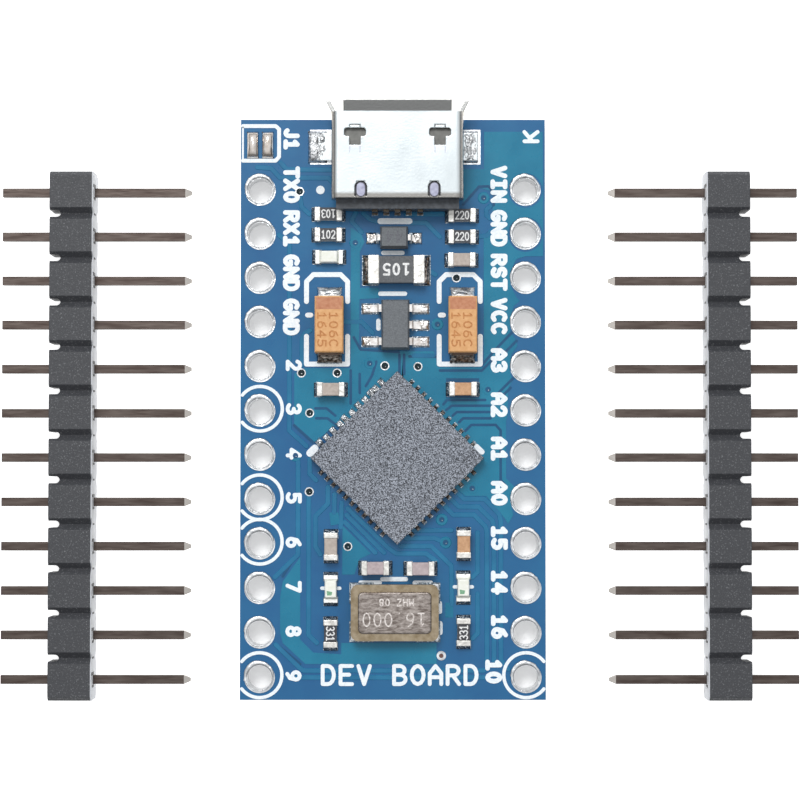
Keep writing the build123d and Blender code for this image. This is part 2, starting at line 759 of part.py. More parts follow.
# ---- Solder lands under every part ---------------------------------------------------------------
flat = Location((0, 0, -land_top))
with BuildPart() as component_pads:
    with BuildSketch(Plane.XY.offset(board_thickness)):
        chip_seats = (*resistor_seats.values(), *capacitor_seats.values(), *lamp_seats.values())
        with Locations(*[flat * seat for seat in chip_seats]):
            with GridLocations(chip_land_spacing, 0, 2, 1):
                Rectangle(*chip_land)
        with Locations(flat * mcu_seat.location):
            with PolarLocations((mcu_size - lead_length + mcu_pad_reach) / 2, 4):
                with GridLocations(0, mcu_lead_pitch, 1, mcu_leads_per_side):
                    Rectangle(lead_length + mcu_pad_reach, lead_width)
            Rectangle(mcu_heat_pad_size, mcu_heat_pad_size)
        with Locations(flat * crystal_seat.location):
            with GridLocations(crystal_length - terminal_length, crystal_width - terminal_width, 2, 2):
                Rectangle(
                    terminal_length + 2 * crystal_land_margin,
                    terminal_width + 2 * crystal_land_margin,
                )
        with Locations(flat * regulator_seat):
            with Locations((regulator_toe, 0)):
                with GridLocations(0, regulator_lead_pitch, 1, 3):
                    Rectangle(*regulator_land)
            with Locations((-regulator_toe, 0)):
                with GridLocations(0, 2 * regulator_lead_pitch, 1, 2):
                    Rectangle(*regulator_land)
        with Locations(flat * diode_seat):
            with GridLocations(diode_land_spacing, 0, 2, 1):
                Rectangle(*diode_land)
        with Locations(flat * fuse_seat):
            with GridLocations(fuse_land_spacing, 0, 2, 1):
                Rectangle(*fuse_land)
        with Locations(*[flat * seat for seat in tantalum_seats.values()]):
            with GridLocations(0, tantalum_land_spacing, 1, 2):
                Rectangle(*tantalum_land)
        with Locations((usb_x, usb_rear - usb_back_overhang - contact_tail / 2)):
            with GridLocations(contact_pitch, 0, contact_count, 1):
                Rectangle(
                    contact_width + 2 * contact_land_margin[0],
                    contact_tail + 2 * contact_land_margin[1],
                )
        with Locations((usb_x + usb_tab_land_shift, usb_front - usb_tab_from_front)):
            with GridLocations(usb_width + usb_tab_reach, 0, 2, 1):
                Rectangle(
                    usb_tab_reach + 2 * usb_tab_land_margin[0],
                    usb_tab_length + 2 * usb_tab_land_margin[1],
                )
        with Locations((link_x, north_edge - link_from_north)):
            with GridLocations(link_land_spacing, 0, 2, 1):
                Rectangle(*link_land)
    extrude(amount=copper_height)
component_pads.part.label = "component_pads"
export_step(component_pads.part, "parts/component_pads.step")

# ---- Header strips -------------------------------------------------------------------------------
# Each lies on its side beside the board, with its long pins pointing at the board
with BuildSketch() as housing_segment:
    Rectangle(pin_pitch, header_height)
    chamfer(housing_segment.vertices(), length=header_chamfer)

strip_y = rows_y + strip_shift
for side, outward, strip_gap in (("left", -1, strip_gap_left), ("right", 1, strip_gap_right)):
    inner_face = outward * (board_width / 2 + strip_gap + pin_long_length)
    outer_face = inner_face + outward * header_depth
    short_end = outer_face + outward * pin_short_length
    strip_plane = Plane(
        origin=(short_end, strip_y, header_height / 2), x_dir=(0, 1, 0), z_dir=(-outward, 0, 0)
    )
    with BuildPart() as header_pins:
        with BuildSketch(strip_plane):
            with GridLocations(pin_pitch, 0, pins_per_row, 1):
                Rectangle(pin_size, pin_size)
        extrude(amount=pin_short_length + header_depth + pin_long_length - pin_tip_length)
        tip_faces = header_pins.faces().filter_by(Axis.X).sort_by(Axis.X)
        shoulders = tip_faces[-pins_per_row:] if outward < 0 else tip_faces[:pins_per_row]
        extrude(shoulders, amount=pin_tip_length, taper=pin_tip_angle)
    header_pins.part.label = f"{side}_header_pins"
    export_step(header_pins.part, f"parts/{side}_header_pins.step")

    with BuildPart() as header_housing:
        with BuildSketch(strip_plane.offset(pin_short_length)):
            with GridLocations(pin_pitch, 0, pins_per_row, 1):
                add(housing_segment.sketch)
            Rectangle(
                pins_per_row * pin_pitch - 2 * header_end_trim, header_height, mode=Mode.INTERSECT
            )
        extrude(amount=header_depth)
        with BuildSketch():
            with Locations((outer_face, strip_y)):
                with GridLocations(0, pin_pitch, 1, pins_per_row - 1):
                    Rectangle(2 * header_notch[1] - header_notch[0], header_notch[0])
                    with GridLocations(2 * header_notch[1] - header_notch[0], 0, 2, 1):
                        Circle(header_notch[0] / 2)
        extrude(amount=header_height, mode=Mode.SUBTRACT)
        add(header_pins.part, mode=Mode.SUBTRACT)
    header_housing.part.label = f"{side}_header_housing"
    export_step(header_housing.part, f"parts/{side}_header_housing.step")
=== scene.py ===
# %% [markdown]
# # A microcontroller board and its two loose pin headers
# The design model already holds every part that has a size: laminate, packages, leads, pins and
# the socket. This lesson gives those parts their finishes, and adds what is too thin to be a part:
# the copper under the mask, the printed legend, the solder and the codes on the chips.

# %% The fixed frame
import math

import bpy
import numpy as np
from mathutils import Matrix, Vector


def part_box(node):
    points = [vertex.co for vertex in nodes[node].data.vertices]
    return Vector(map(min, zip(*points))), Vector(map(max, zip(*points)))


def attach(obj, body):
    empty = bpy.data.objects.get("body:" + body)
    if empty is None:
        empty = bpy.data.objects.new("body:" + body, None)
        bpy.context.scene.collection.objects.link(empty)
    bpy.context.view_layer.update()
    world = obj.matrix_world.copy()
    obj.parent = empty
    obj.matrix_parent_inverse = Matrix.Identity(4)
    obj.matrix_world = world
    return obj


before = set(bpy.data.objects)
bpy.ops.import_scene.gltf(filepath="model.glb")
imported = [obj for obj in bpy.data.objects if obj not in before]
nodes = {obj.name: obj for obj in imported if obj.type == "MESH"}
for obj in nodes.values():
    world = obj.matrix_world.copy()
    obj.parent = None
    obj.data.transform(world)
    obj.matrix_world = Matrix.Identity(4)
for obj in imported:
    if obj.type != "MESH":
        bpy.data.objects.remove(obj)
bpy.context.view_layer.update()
MM = 0.001

# %% [markdown]
# ## Places
# Every place is read from the boxes of the parts themselves, so the thin pieces stay on the parts
# they belong to when the design changes. All lengths below are millimetres until a mesh is made.


# %% Places read from the frame
def span(node):
    """The lowest and highest corner of a part, as two arrays in millimetres."""
    low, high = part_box(node)
    return np.array(low) / MM, np.array(high) / MM


def centre(node):
    """The middle of a part's box, x and y only."""
    low, high = span(node)
    return (low[:2] + high[:2]) / 2


board_low, board_high = span("pcb_laminate")
board_top = board_high[2]
left_low, left_high = span("pin_hole_plating_left")
right_low, right_high = span("pin_hole_plating_right")
PINS = 12
ring = left_high[0] - left_low[0]
hole_y = np.linspace(left_high[1] - ring / 2, left_low[1] + ring / 2, PINS)
left_x = (left_low[0] + left_high[0]) / 2
right_x = (right_low[0] + right_high[0]) / 2
pitch = hole_y[0] - hole_y[1]
left_face = span("left_header_housing")[1][0]
right_face = span("right_header_housing")[0][0]
left_tip = span("left_header_pins")[1][0]
right_tip = span("right_header_pins")[0][0]
print("hole rows at x", round(left_x, 2), round(right_x, 2), "pitch", round(pitch, 3))

# %% [markdown]
# ## The camera
# A product view from straight above, leaning a little to the south, from about 150 mm. A short
# distance like that shows a sliver of the headers' inner faces.

# %% Camera
AIM = np.array([0.41, 0.5, board_top])
DISTANCE = 150.0
LEAN = math.radians(2.0)
FRAME_WIDTH = 45.9
camera = bpy.data.objects.new("camera", bpy.data.cameras.new("camera"))
bpy.context.scene.collection.objects.link(camera)
away = np.array([0.0, -math.sin(LEAN), math.cos(LEAN)])
camera.location = (AIM + DISTANCE * away) * MM
camera.rotation_euler = (LEAN, 0.0, 0.0)
camera.data.sensor_width = 36.0
camera.data.lens = camera.data.sensor_width * DISTANCE / FRAME_WIDTH
camera.data.clip_start = 0.005
bpy.context.scene.camera = camera
bpy.context.scene.view_settings.view_transform = "Standard"
print("lens", round(camera.data.lens, 1))

# %% [markdown]
# ## Colour and nodes
# Colours are written as the hex values a painter would pick, and one function turns them into
# the linear numbers that the shaders want. One more function adds any node.


# %% Colours and nodes
def colour(code):
    """sRGB hex to linear: v / 12.92 below 0.04045, else ((v + 0.055) / 1.055) to the power 2.4."""
    v = np.array([int(code[i:i + 2], 16) for i in (1, 3, 5)]) / 255
    return (*np.where(v <= 0.04045, v / 12.92, ((v + 0.055) / 1.055) ** 2.4).tolist(), 1.0)


def add(tree, kind, values=None, links=None, **settings):
    """Adds one node: settings are its properties, values its sockets, links what feeds them."""
    node = tree.nodes.new(kind)
    for key, value in settings.items():
        setattr(node, key, value)
    for key, value in (values or {}).items():
        node.inputs[key].default_value = value
    for key, source in (links or {}).items():
        tree.links.new(source, node.inputs[key])
    return node


def finish(name, base, roughness, metallic=0.0, ior=1.5, **sockets):
    """An opaque material with one shader, its flat numbers set on the shader's own sockets."""
    material = bpy.data.materials.new(name)
    material.use_nodes = True
    tree = material.node_tree
    shader = tree.nodes["Principled BSDF"]
    shader.inputs["Base Color"].default_value = colour(base)
    shader.inputs["Roughness"].default_value = roughness
    shader.inputs["Metallic"].default_value = metallic
    if metallic == 0.0:
        shader.inputs["IOR"].default_value = ior
    for key, value in sockets.items():
        shader.inputs[key.replace("_", " ")].default_value = value
    place = add(tree, "ShaderNodeTexCoord").outputs["Object"]
    return material, tree, shader, place


def grain(tree, place, size, detail=3.0, roughness=0.55):
    """Noise whose blobs are about so many millimetres across, on the piece's own coordinates."""
    values = {"Scale": 1 / (size * MM), "Detail": detail, "Roughness": roughness}
    return add(tree, "ShaderNodeTexNoise", values, {"Vector": place}).outputs["Fac"]


def tint(tree, shader, factor, low, high, dark, light):
    """Colours the surface from dark to light as the factor goes from low to high."""
    ramp = add(tree, "ShaderNodeValToRGB", links={"Fac": factor})
    ramp.color_ramp.elements[0].position = low
    ramp.color_ramp.elements[0].color = colour(dark)
    ramp.color_ramp.elements[1].position = high
    ramp.color_ramp.elements[1].color = colour(light)
    tree.links.new(ramp.outputs["Color"], shader.inputs["Base Color"])


def relief(tree, shader, height, depth, normal=None):
    """Bumps of the given depth in millimetres, on top of a softened normal if there is one."""
    links = {"Height": height}
    if normal:
        links["Normal"] = normal
    bump = add(tree, "ShaderNodeBump", {"Distance": depth * MM, "Strength": 1.0}, links)
    tree.links.new(bump.outputs["Normal"], shader.inputs["Normal"])


def within(tree, place, **limits):
    """1 inside a box given by its limits along X, Y and Z in millimetres, 0 outside it."""
    axes = add(tree, "ShaderNodeSeparateXYZ", links={"Vector": place})
    inside = None
    for axis, (low, high) in limits.items():
        values = {1: (low + high) / 2 * MM, 2: (high - low) / 2 * MM}
        test = add(tree, "ShaderNodeMath", values, {0: axes.outputs[axis]}, operation="COMPARE")
        links = {0: inside or test.outputs[0], 1: test.outputs[0]}
        inside = add(tree, "ShaderNodeMath", links=links, operation="MULTIPLY").outputs[0]
    return inside


def steep(tree, low, high):
    """1 where the surface stands upright, 0 where it lies flat: the size of its normal's z is
    mapped from low to high onto 1 to 0."""
    facing = add(tree, "ShaderNodeNewGeometry").outputs["Normal"]
    upward = add(tree, "ShaderNodeSeparateXYZ", links={"Vector": facing}).outputs["Z"]
    size = add(tree, "ShaderNodeMath", links={0: upward}, operation="ABSOLUTE").outputs[0]
    values = {"From Min": low, "From Max": high, "To Min": 1.0, "To Max": 0.0}
    return add(tree, "ShaderNodeMapRange", values, {"Value": size}).outputs["Result"]


def fade(tree, place, axis, start, end):
    """Goes from 0 to 1 between two places along an axis, in millimetres."""
    along = add(tree, "ShaderNodeSeparateXYZ", links={"Vector": place}).outputs[axis]
    values = {"From Min": start * MM, "From Max": end * MM}
    return add(tree, "ShaderNodeMapRange", values, {"Value": along}).outputs["Result"]


def overlay(tree, shader, factor, code):
    """Lays one more colour over the base colour, as far as the factor says. Of a mix of colours,
    socket 0 takes the factor, 6 and 7 take the two colours, and output 2 gives the result."""
    below = shader.inputs["Base Color"].links[0].from_socket
    mix = add(tree, "ShaderNodeMix", {7: colour(code)}, {0: factor, 6: below}, data_type="RGBA")
    tree.links.new(mix.outputs[2], shader.inputs["Base Color"])


def spread(tree, shader, factor, low, high):
    """Roughness that goes from low to high with the factor."""
    values = {"To Min": low, "To Max": high}
    mapped = add(tree, "ShaderNodeMapRange", values, {"Value": factor})
    tree.links.new(mapped.outputs["Result"], shader.inputs["Roughness"])


def edge_softening(tree, radius):
    """A normal rounded over sharp edges, as stamping and moulding leave them."""
    values = {"Radius": radius * MM}
    return add(tree, "ShaderNodeBevel", values, samples=4).outputs["Normal"]


def dress(material, *names):
    """Gives a material to the parts' own slots."""
    for name in names:
        mesh = nodes[name].data
        if not mesh.materials:
            mesh.materials.append(material)
        for number in range(len(mesh.materials)):
            mesh.materials[number] = material
    print(material.name, "on", ", ".join(names))


print("a grey of #808080 is", round(colour("#808080")[0], 3), "in linear light")

# %% [markdown]
# ## Solder mask on glass fibre
# The board is woven glass in epoxy, printed with blue solder mask on both faces and sawn at the
# edges. So its two faces show the mask, and its edges the straw-coloured laminate: the faces
# are told apart by where their normal points. The mask is glossy and slightly mottled, because it
# went on as a wet film.

# %% Laminate with mask on its faces
MASK_SHINE = 0.35
MASK_DARK, MASK_BLUE = "#1c5c8e", "#226896"
EDGE_DARK, EDGE_LIGHT = "#8f8a4e", "#c9c48e"
PLY = 0.4
laminate, tree, shader, place = finish("glass_epoxy_laminate", MASK_BLUE, 0.3, Specular_IOR_Level=MASK_SHINE)
# The sawn edge shows the plies of glass cloth as level bands of straw, a few tenths apart
values = {"Scale": 1 / (PLY * MM) / 6, "Distortion": 1.5, "Detail": 2.0}
plies = add(tree, "ShaderNodeTexWave", values, {"Vector": place}, bands_direction="Z").outputs["Fac"]
tint(tree, shader, plies, 0.0, 1.0, EDGE_DARK, EDGE_LIGHT)
edge = shader.inputs["Base Color"].links[0].from_socket
tint(tree, shader, grain(tree, place, 4.0, 4.0), 0.35, 0.65, MASK_DARK, MASK_BLUE)
mask = shader.inputs["Base Color"].links[0].from_socket
both = add(tree, "ShaderNodeMix", links={0: steep(tree, 0.4, 0.6), 6: mask, 7: edge}, data_type="RGBA")
tree.links.new(both.outputs[2], shader.inputs["Base Color"])
relief(tree, shader, grain(tree, place, 0.35), 0.004)
spread(tree, shader, grain(tree, place, 1.5), 0.22, 0.4)
dress(laminate, "pcb_laminate")

# %% The same mask over copper, over etched gaps and over traces
# It looks greener where it lies on copper
copper_mask, tree, shader, place = finish("mask_over_copper", "#187ea2", 0.25, Specular_IOR_Level=MASK_SHINE)
tint(tree, shader, grain(tree, place, 2.5, 4.0), 0.35, 0.68, "#117293", "#1e7f9e")
relief(tree, shader, grain(tree, place, 0.3), 0.004)
spread(tree, shader, grain(tree, place, 1.2), 0.2, 0.36)

# A gap etched in a pour shows the darker mask on bare laminate
gap_mask, tree, shader, place = finish("mask_in_etched_gap", "#155a8a", 0.3, Specular_IOR_Level=MASK_SHINE)
tint(tree, shader, grain(tree, place, 1.5, 4.0), 0.3, 0.7, "#0f4a72", "#15567f")
relief(tree, shader, grain(tree, place, 0.3), 0.004)

# A trace is narrow, so its mask is worn thinner over its shoulders and looks greyer
trace_mask, tree, shader, place = finish("mask_over_trace", "#1f7099", 0.25, Specular_IOR_Level=MASK_SHINE)
tint(tree, shader, grain(tree, place, 1.5, 4.0), 0.35, 0.68, "#1a6a93", "#24779f")
relief(tree, shader, grain(tree, place, 0.3), 0.004)
print("mask:", laminate.name, copper_mask.name, gap_mask.name, trace_mask.name)

# %% [markdown]
# ## Metals
# Three bright metals sit side by side: hot tin that froze with a soft orange skin, solder that
# froze lumpy, and nickel-plated steel that left the press with a faint grain. They differ in how
# rough they are and in the size of their bumps, not in colour.

# %% Tin, lands and leads
# Hot tin froze in soft waves, so it gives broad soft highlights
tin, tree, shader, place = finish("hot_tinned_copper", "#dcdee0", 0.3, 1.0)
tint(tree, shader, grain(tree, place, 0.5), 0.3, 0.7, "#b9bbbd", "#f2f3f4")
relief(tree, shader, grain(tree, place, 0.22), 0.03)
spread(tree, shader, grain(tree, place, 0.3), 0.15, 0.45)
dress(tin, "pin_hole_plating_left", "pin_hole_plating_right", "crystal_terminals", "mcu_leads")

# Lands are drawn dark bluish grey with bright specks: a painted reflection of the dark
# surroundings, with painted glints. Those of the socket, the link and the north ends of the two
# big capacitors are painted bright: a painted highlight where they face the lamp to the north
shaded_land, tree, shader, place = finish("land_painted_reflection", "#6b7680", 0.35, 1.0)
tint(tree, shader, grain(tree, place, 0.1, 4.0), 0.5, 0.72, "#5d6973", "#dfe5e9")
overlay(tree, shader, within(tree, place, Y=(13.4, 18)), "#e9ebed")
overlay(tree, shader, within(tree, place, Y=(6.3, 7.0)), "#e9ebed")
relief(tree, shader, grain(tree, place, 0.15), 0.03)
dress(shaded_land, "component_pads")

# Bending polished the leads, so they are bright with long faint streaks
bent, tree, shader, place = finish("bent_tinned_lead", "#d5d1cd", 0.3, 1.0)
tint(tree, shader, grain(tree, place, 0.35, 2.0), 0.3, 0.7, "#bdb6b0", "#f0eeec")
relief(tree, shader, grain(tree, place, 0.3), 0.01)
dress(bent, "regulator_leads", "diode_leads")

# The folded terminals are warm and satin, and the southern ones are painted dark: painted shade on
# the side away from the lamp
case_terminal, tree, shader, place = finish("folded_case_terminal", "#c9c4bf", 0.35, 1.0)
tint(tree, shader, grain(tree, place, 0.25), 0.3, 0.7, "#b5afa9", "#dedad6")
overlay(tree, shader, within(tree, place, Y=(2.0, 4.0)), "#64564e")
relief(tree, shader, grain(tree, place, 0.2), 0.02)
dress(case_terminal, "tantalum_left_terminals", "tantalum_right_terminals")

# The lamps' terminals are nearly white and matt, as pale as the lens between them
lamp_tin, tree, shader, place = finish("bright_lamp_terminal", "#f6f6f2", 0.5, 1.0)
tint(tree, shader, grain(tree, place, 0.2), 0.3, 0.7, "#ecebe5", "#fbfbf9")
relief(tree, shader, grain(tree, place, 0.15), 0.01)
dress(lamp_tin, "lamp_terminals")

# %% Solder and end caps
# Frozen solder is lumpy, and its colour goes at random from grey to near white: painted highlights
# and painted shade for the light on its lumps
solder, tree, shader, place = finish("solder_painted_glints", "#d5d7da", 0.25, 1.0)
tint(tree, shader, grain(tree, place, 0.12), 0.35, 0.65, "#8d9093", "#f6f7f8")
relief(tree, shader, grain(tree, place, 0.1, 4.0), 0.05)
spread(tree, shader, grain(tree, place, 0.2), 0.12, 0.5)

# On a chip's small land the solder is drawn dark with a few bright specks: a painted reflection
# of the dark surroundings, with painted glints
fillet_tin, tree, shader, place = finish("fillet_painted_reflection", "#67717b", 0.3, 1.0)
tint(tree, shader, grain(tree, place, 0.07, 3.0), 0.52, 0.7, "#56616c", "#f1f4f6")
relief(tree, shader, grain(tree, place, 0.1, 4.0), 0.04)

# Dark brown solder with warm glints: painted shade with painted glints for the joints on the side
# away from the lamp; the fuse's joints get it too
solder_painted_shade, tree, shader, place = finish("dark_solder_painted_shade", "#75695f", 0.28, 1.0)
tint(tree, shader, grain(tree, place, 0.16, 3.0), 0.42, 0.68, "#5d5048", "#cfc6bd")
relief(tree, shader, grain(tree, place, 0.2, 3.0), 0.03)

# A drop that froze slowly is smooth, and shows one clear highlight
drop, tree, shader, place = finish("smooth_solder_drop", "#dcd3cb", 0.16, 1.0)
tint(tree, shader, grain(tree, place, 0.5), 0.3, 0.7, "#d0c4b9", "#e9e4df")
relief(tree, shader, grain(tree, place, 0.4), 0.01)

# End caps are dipped and plated: pale, slightly rough, with rounded edges that catch the light
barrier, tree, shader, place = finish("plated_end_cap", "#e4e2dd", 0.35, 1.0)
tint(tree, shader, grain(tree, place, 0.3), 0.3, 0.7, "#c2bfb9", "#f6f4ef")
relief(tree, shader, grain(tree, place, 0.15), 0.02, normal=edge_softening(tree, 0.07))
dress(barrier, "resistor_end_caps", "capacitor_end_caps", "fuse_end_caps")

# %% The socket's steel
# Nickel on rolled steel: a clean cool mirror with a faint grain, so the roof shows the sky
LIP_RISE = 0.32
SHOULDER, SIDE = 3.42, 3.72
steel, tree, shader, place = finish("nickel_plated_steel", "#e9eaeb", 0.24, 1.0)
tint(tree, shader, grain(tree, place, 2.5), 0.3, 0.7, "#d0d7d9", "#e0e6e8")
usb_low, usb_high = span("usb_shell")
usb_x = (usb_low[0] + usb_high[0]) / 2
roof = usb_high[2] - LIP_RISE
# Its rolled edges, its sides, its front lip and its cut rear edge are painted darker: painted
# shade where they turn from the sky. Its inside is painted dark grey: painted shade in the hollow
overlay(tree, shader, steep(tree, 0.55, 0.97), "#8d8a86")
overlay(tree, shader, fade(tree, place, "X", usb_x - SHOULDER, usb_x - SIDE), "#8b8782")
overlay(tree, shader, fade(tree, place, "X", usb_x + SHOULDER, usb_x + SIDE), "#a19d98")
overlay(tree, shader, fade(tree, place, "Y", usb_low[1] + 0.36, usb_low[1] + 0.2), "#9a9894")
overlay(tree, shader, fade(tree, place, "Y", usb_high[1] - 0.6, usb_high[1] - 0.58), "#b6b6b4")
# The anchors and their feet are wetted by solder
overlay(tree, shader, within(tree, place, Z=(1.5, 2.3)), "#dfe5e7")
inside_shade = within(tree, place, X=(usb_x - 3.5, usb_x + 3.5), Y=(0, 16.6), Z=(1.2, roof - 0.3))
overlay(tree, shader, inside_shade, "#4a4a4a")
relief(tree, shader, grain(tree, place, 0.12, 2.0), 0.005, normal=edge_softening(tree, 0.08))
spread(tree, shader, grain(tree, place, 1.2), 0.2, 0.28)
dress(steel, "usb_shell")

# %% Gold, contacts, lid, pins and copper
# A gold flash on nickel is thin and pale, so the ring looks like dull brass
gold, tree, shader, place = finish("gold_flash", "#9d8d74", 0.25, 1.0)
tint(tree, shader, grain(tree, place, 0.4), 0.3, 0.7, "#8b7b62", "#b0a18a")
relief(tree, shader, grain(tree, place, 0.2), 0.01)
dress(gold, "crystal_seal_ring")

# The contacts' tails are painted dark: painted shade where they lie behind the shell
shaded_contact, tree, shader, place = finish("contact_plating_painted_shade", "#5a5048", 0.4, 1.0)
tint(tree, shader, grain(tree, place, 0.3), 0.3, 0.7, "#463d35", "#6f6456")
relief(tree, shader, grain(tree, place, 0.15), 0.01)
dress(shaded_contact, "usb_contacts")

# The lid is a dull nickel alloy, rubbed along its length
kovar, tree, shader, place = finish("dull_lid_alloy", "#9a8d88", 0.42, 1.0)
rubbed = add(tree, "ShaderNodeMapping", {"Scale": (0.35, 1.0, 1.0)}, {"Vector": place}).outputs["Vector"]
tint(tree, shader, grain(tree, rubbed, 0.14, 5.0, 0.7), 0.36, 0.72, "#655b55", "#bfb6b0")
relief(tree, shader, grain(tree, place, 0.08), 0.012)
spread(tree, shader, grain(tree, place, 0.4), 0.35, 0.5)
dress(kovar, "crystal_lid")

# The pins are drawn wire with dull tin: brown, with streaks along the wire
bronze, tree, shader, place = finish("dull_tin_bronze_wire", "#4f4743", 0.42, 1.0)
along = add(tree, "ShaderNodeMapping", {"Scale": (0.15, 1.0, 1.0)}, {"Vector": place}).outputs["Vector"]
tint(tree, shader, grain(tree, along, 0.25, 4.0), 0.3, 0.72, "#483e3a", "#665d58")
# Both sheared tips show fresh bright metal
for low, high in ((left_tip - 0.38, left_tip + 1), (right_tip - 1, right_tip + 0.38)):
    overlay(tree, shader, within(tree, place, X=(low, high)), "#c9c3bd")
relief(tree, shader, grain(tree, along, 0.12), 0.012, normal=edge_softening(tree, 0.04))
dress(bronze, "left_header_pins", "right_header_pins")

# The heat pad under the controller is bare copper
copper_frame, tree, shader, place = finish("half_hard_copper", "#c08a6a", 0.35, 1.0)
tint(tree, shader, grain(tree, place, 0.5), 0.3, 0.7, "#a8755a", "#d09c7c")
dress(copper_frame, "mcu_heat_pad")

# %% [markdown]
# ## Moulded and fired parts
# The headers and the packages are moulded: glass-filled plastic is dark and scuffed, mould
# compound is grey and grainy, because it is mostly ground silica. The chips are fired ceramic.

# %% Moulded plastics
# Glass fibres near the surface leave pale specks on dark plastic
header_plastic, tree, shader, place = finish("glass_filled_plastic", "#3d4043", 0.5)
dust = grain(tree, place, 0.09, 5.0, 0.7)
tint(tree, shader, dust, 0.56, 0.76, "#393a3e", "#929496")
# The faces that look at the board are painted nearly white: a painted highlight for the light
# they catch from the white table beside them
for face in (left_face, right_face):
    overlay(tree, shader, within(tree, place, X=(face - 0.06, face + 0.06)), "#cdcfd4")
relief(tree, shader, grain(tree, place, 0.12), 0.015, normal=edge_softening(tree, 0.06))
spread(tree, shader, grain(tree, place, 0.5), 0.4, 0.6)
dress(header_plastic, "left_header_housing", "right_header_housing")

# The socket's insulator is plain and matt, a little paler than the strips
socket_plastic, tree, shader, place = finish("black_socket_plastic", "#44484e", 0.5)
tint(tree, shader, grain(tree, place, 0.3), 0.4, 0.75, "#3a3e43", "#555a61")
relief(tree, shader, grain(tree, place, 0.12), 0.01)
dress(socket_plastic, "usb_insulator")

# The controller's lid was blasted: coarse, with bright silica specks. The grit is drawn a little
# coarser than it is, so that it still shows
blasted, tree, shader, place = finish("blasted_mould_compound", "#737579", 0.5)
grit = grain(tree, place, 0.064, 2.0, 0.5)
tint(tree, shader, grit, 0.38, 0.69, "#191e27", "#b7bdc9")
relief(tree, shader, grit, 0.04)
dress(blasted, "mcu_package")

# The small packages are the same compound as moulded: even, dull and grey
compound, tree, shader, place = finish("mould_compound", "#6f7176", 0.55)
tint(tree, shader, grain(tree, place, 0.08), 0.3, 0.75, "#595d61", "#74787c")
relief(tree, shader, grain(tree, place, 0.08), 0.008, normal=edge_softening(tree, 0.03))
dress(compound, "regulator_body", "diode_body")

# The fuse is a polymer sheet under a matt dark grey coat
fuse_skin, tree, shader, place = finish("fuse_polymer_skin", "#5f6064", 0.6)
tint(tree, shader, grain(tree, place, 0.1), 0.3, 0.75, "#4f5154", "#6b6d70")
relief(tree, shader, grain(tree, place, 0.1), 0.01)
dress(fuse_skin, "fuse_body")

# Yellow epoxy, satin, with mould edges slightly rounded
tantalum_resin, tree, shader, place = finish("moulded_epoxy_case", "#e3a867", 0.5)
tint(tree, shader, grain(tree, place, 0.25, 4.0), 0.3, 0.7, "#d39a60", "#e3af78")
relief(tree, shader, grain(tree, place, 0.1), 0.008, normal=edge_softening(tree, 0.04))
dress(tantalum_resin, "tantalum_left_body", "tantalum_right_body")

# %% Fired ceramics, coats and lamps
# Fired dielectric is smooth and earthy, in a shade that depends on its recipe
for name, dark, light, parts in (
    ("fired_beige_dielectric", "#a99c92", "#c0b4aa",
     ("supply_capacitor_left", "core_capacitor_left", "usb_capacitor")),
    ("fired_pink_dielectric", "#a8989a", "#bfb0b1",
     ("crystal_capacitor_left", "crystal_capacitor_right")),
    ("fired_tan_dielectric", "#b98a63", "#d3a67e",
     ("supply_capacitor_right", "core_capacitor_right")),
):
    fired, tree, shader, place = finish(name, dark, 0.4)
    tint(tree, shader, grain(tree, place, 0.18), 0.3, 0.7, dark, light)
    relief(tree, shader, grain(tree, place, 0.1), 0.006, normal=edge_softening(tree, 0.1))
    dress(fired, *parts)

# Alumina is white and matt, and shows only at the resistors' sides
alumina, tree, shader, place = finish("white_alumina", "#d9d8d2", 0.5)
tint(tree, shader, grain(tree, place, 0.15), 0.3, 0.7, "#cfcdc6", "#e9e8e3")
relief(tree, shader, grain(tree, place, 0.1), 0.006)
resistors = [name for name in nodes if name.endswith("_resistor") or "_resistor_" in name]
dress(alumina, *resistors)

# Printed glass is nearly black, with a soft sheen
overcoat, tree, shader, place = finish("printed_glass_overcoat", "#35363a", 0.35)
tint(tree, shader, grain(tree, place, 0.2), 0.3, 0.75, "#2b2c30", "#48494e")
relief(tree, shader, grain(tree, place, 0.15), 0.01)
dress(overcoat, "resistor_coats")

# The crystal's base is a brown ceramic, hidden but for its rim
dark_ceramic, tree, shader, place = finish("dark_fired_ceramic", "#4a4340", 0.5)
tint(tree, shader, grain(tree, place, 0.2), 0.3, 0.7, "#3d3734", "#5a524e")
dress(dark_ceramic, "crystal_base")

# The lamps stand on white plastic, under a milky lens that hides the die
lamp_base, tree, shader, place = finish("white_lamp_base", "#dfe0da", 0.5)
tint(tree, shader, grain(tree, place, 0.2), 0.3, 0.7, "#cfd1c9", "#edeee8")
dress(lamp_base, "power_lamp_base", "receive_lamp_base", "transmit_lamp_base")

lamp_resin, tree, shader, place = finish("milky_clear_epoxy", "#f3f4ea", 0.2)
tint(tree, shader, grain(tree, place, 0.25), 0.3, 0.7, "#eceddf", "#f8f8f2")
relief(tree, shader, grain(tree, place, 0.15), 0.006)
dress(lamp_resin, "power_lamp_lens", "receive_lamp_lens", "transmit_lamp_lens")

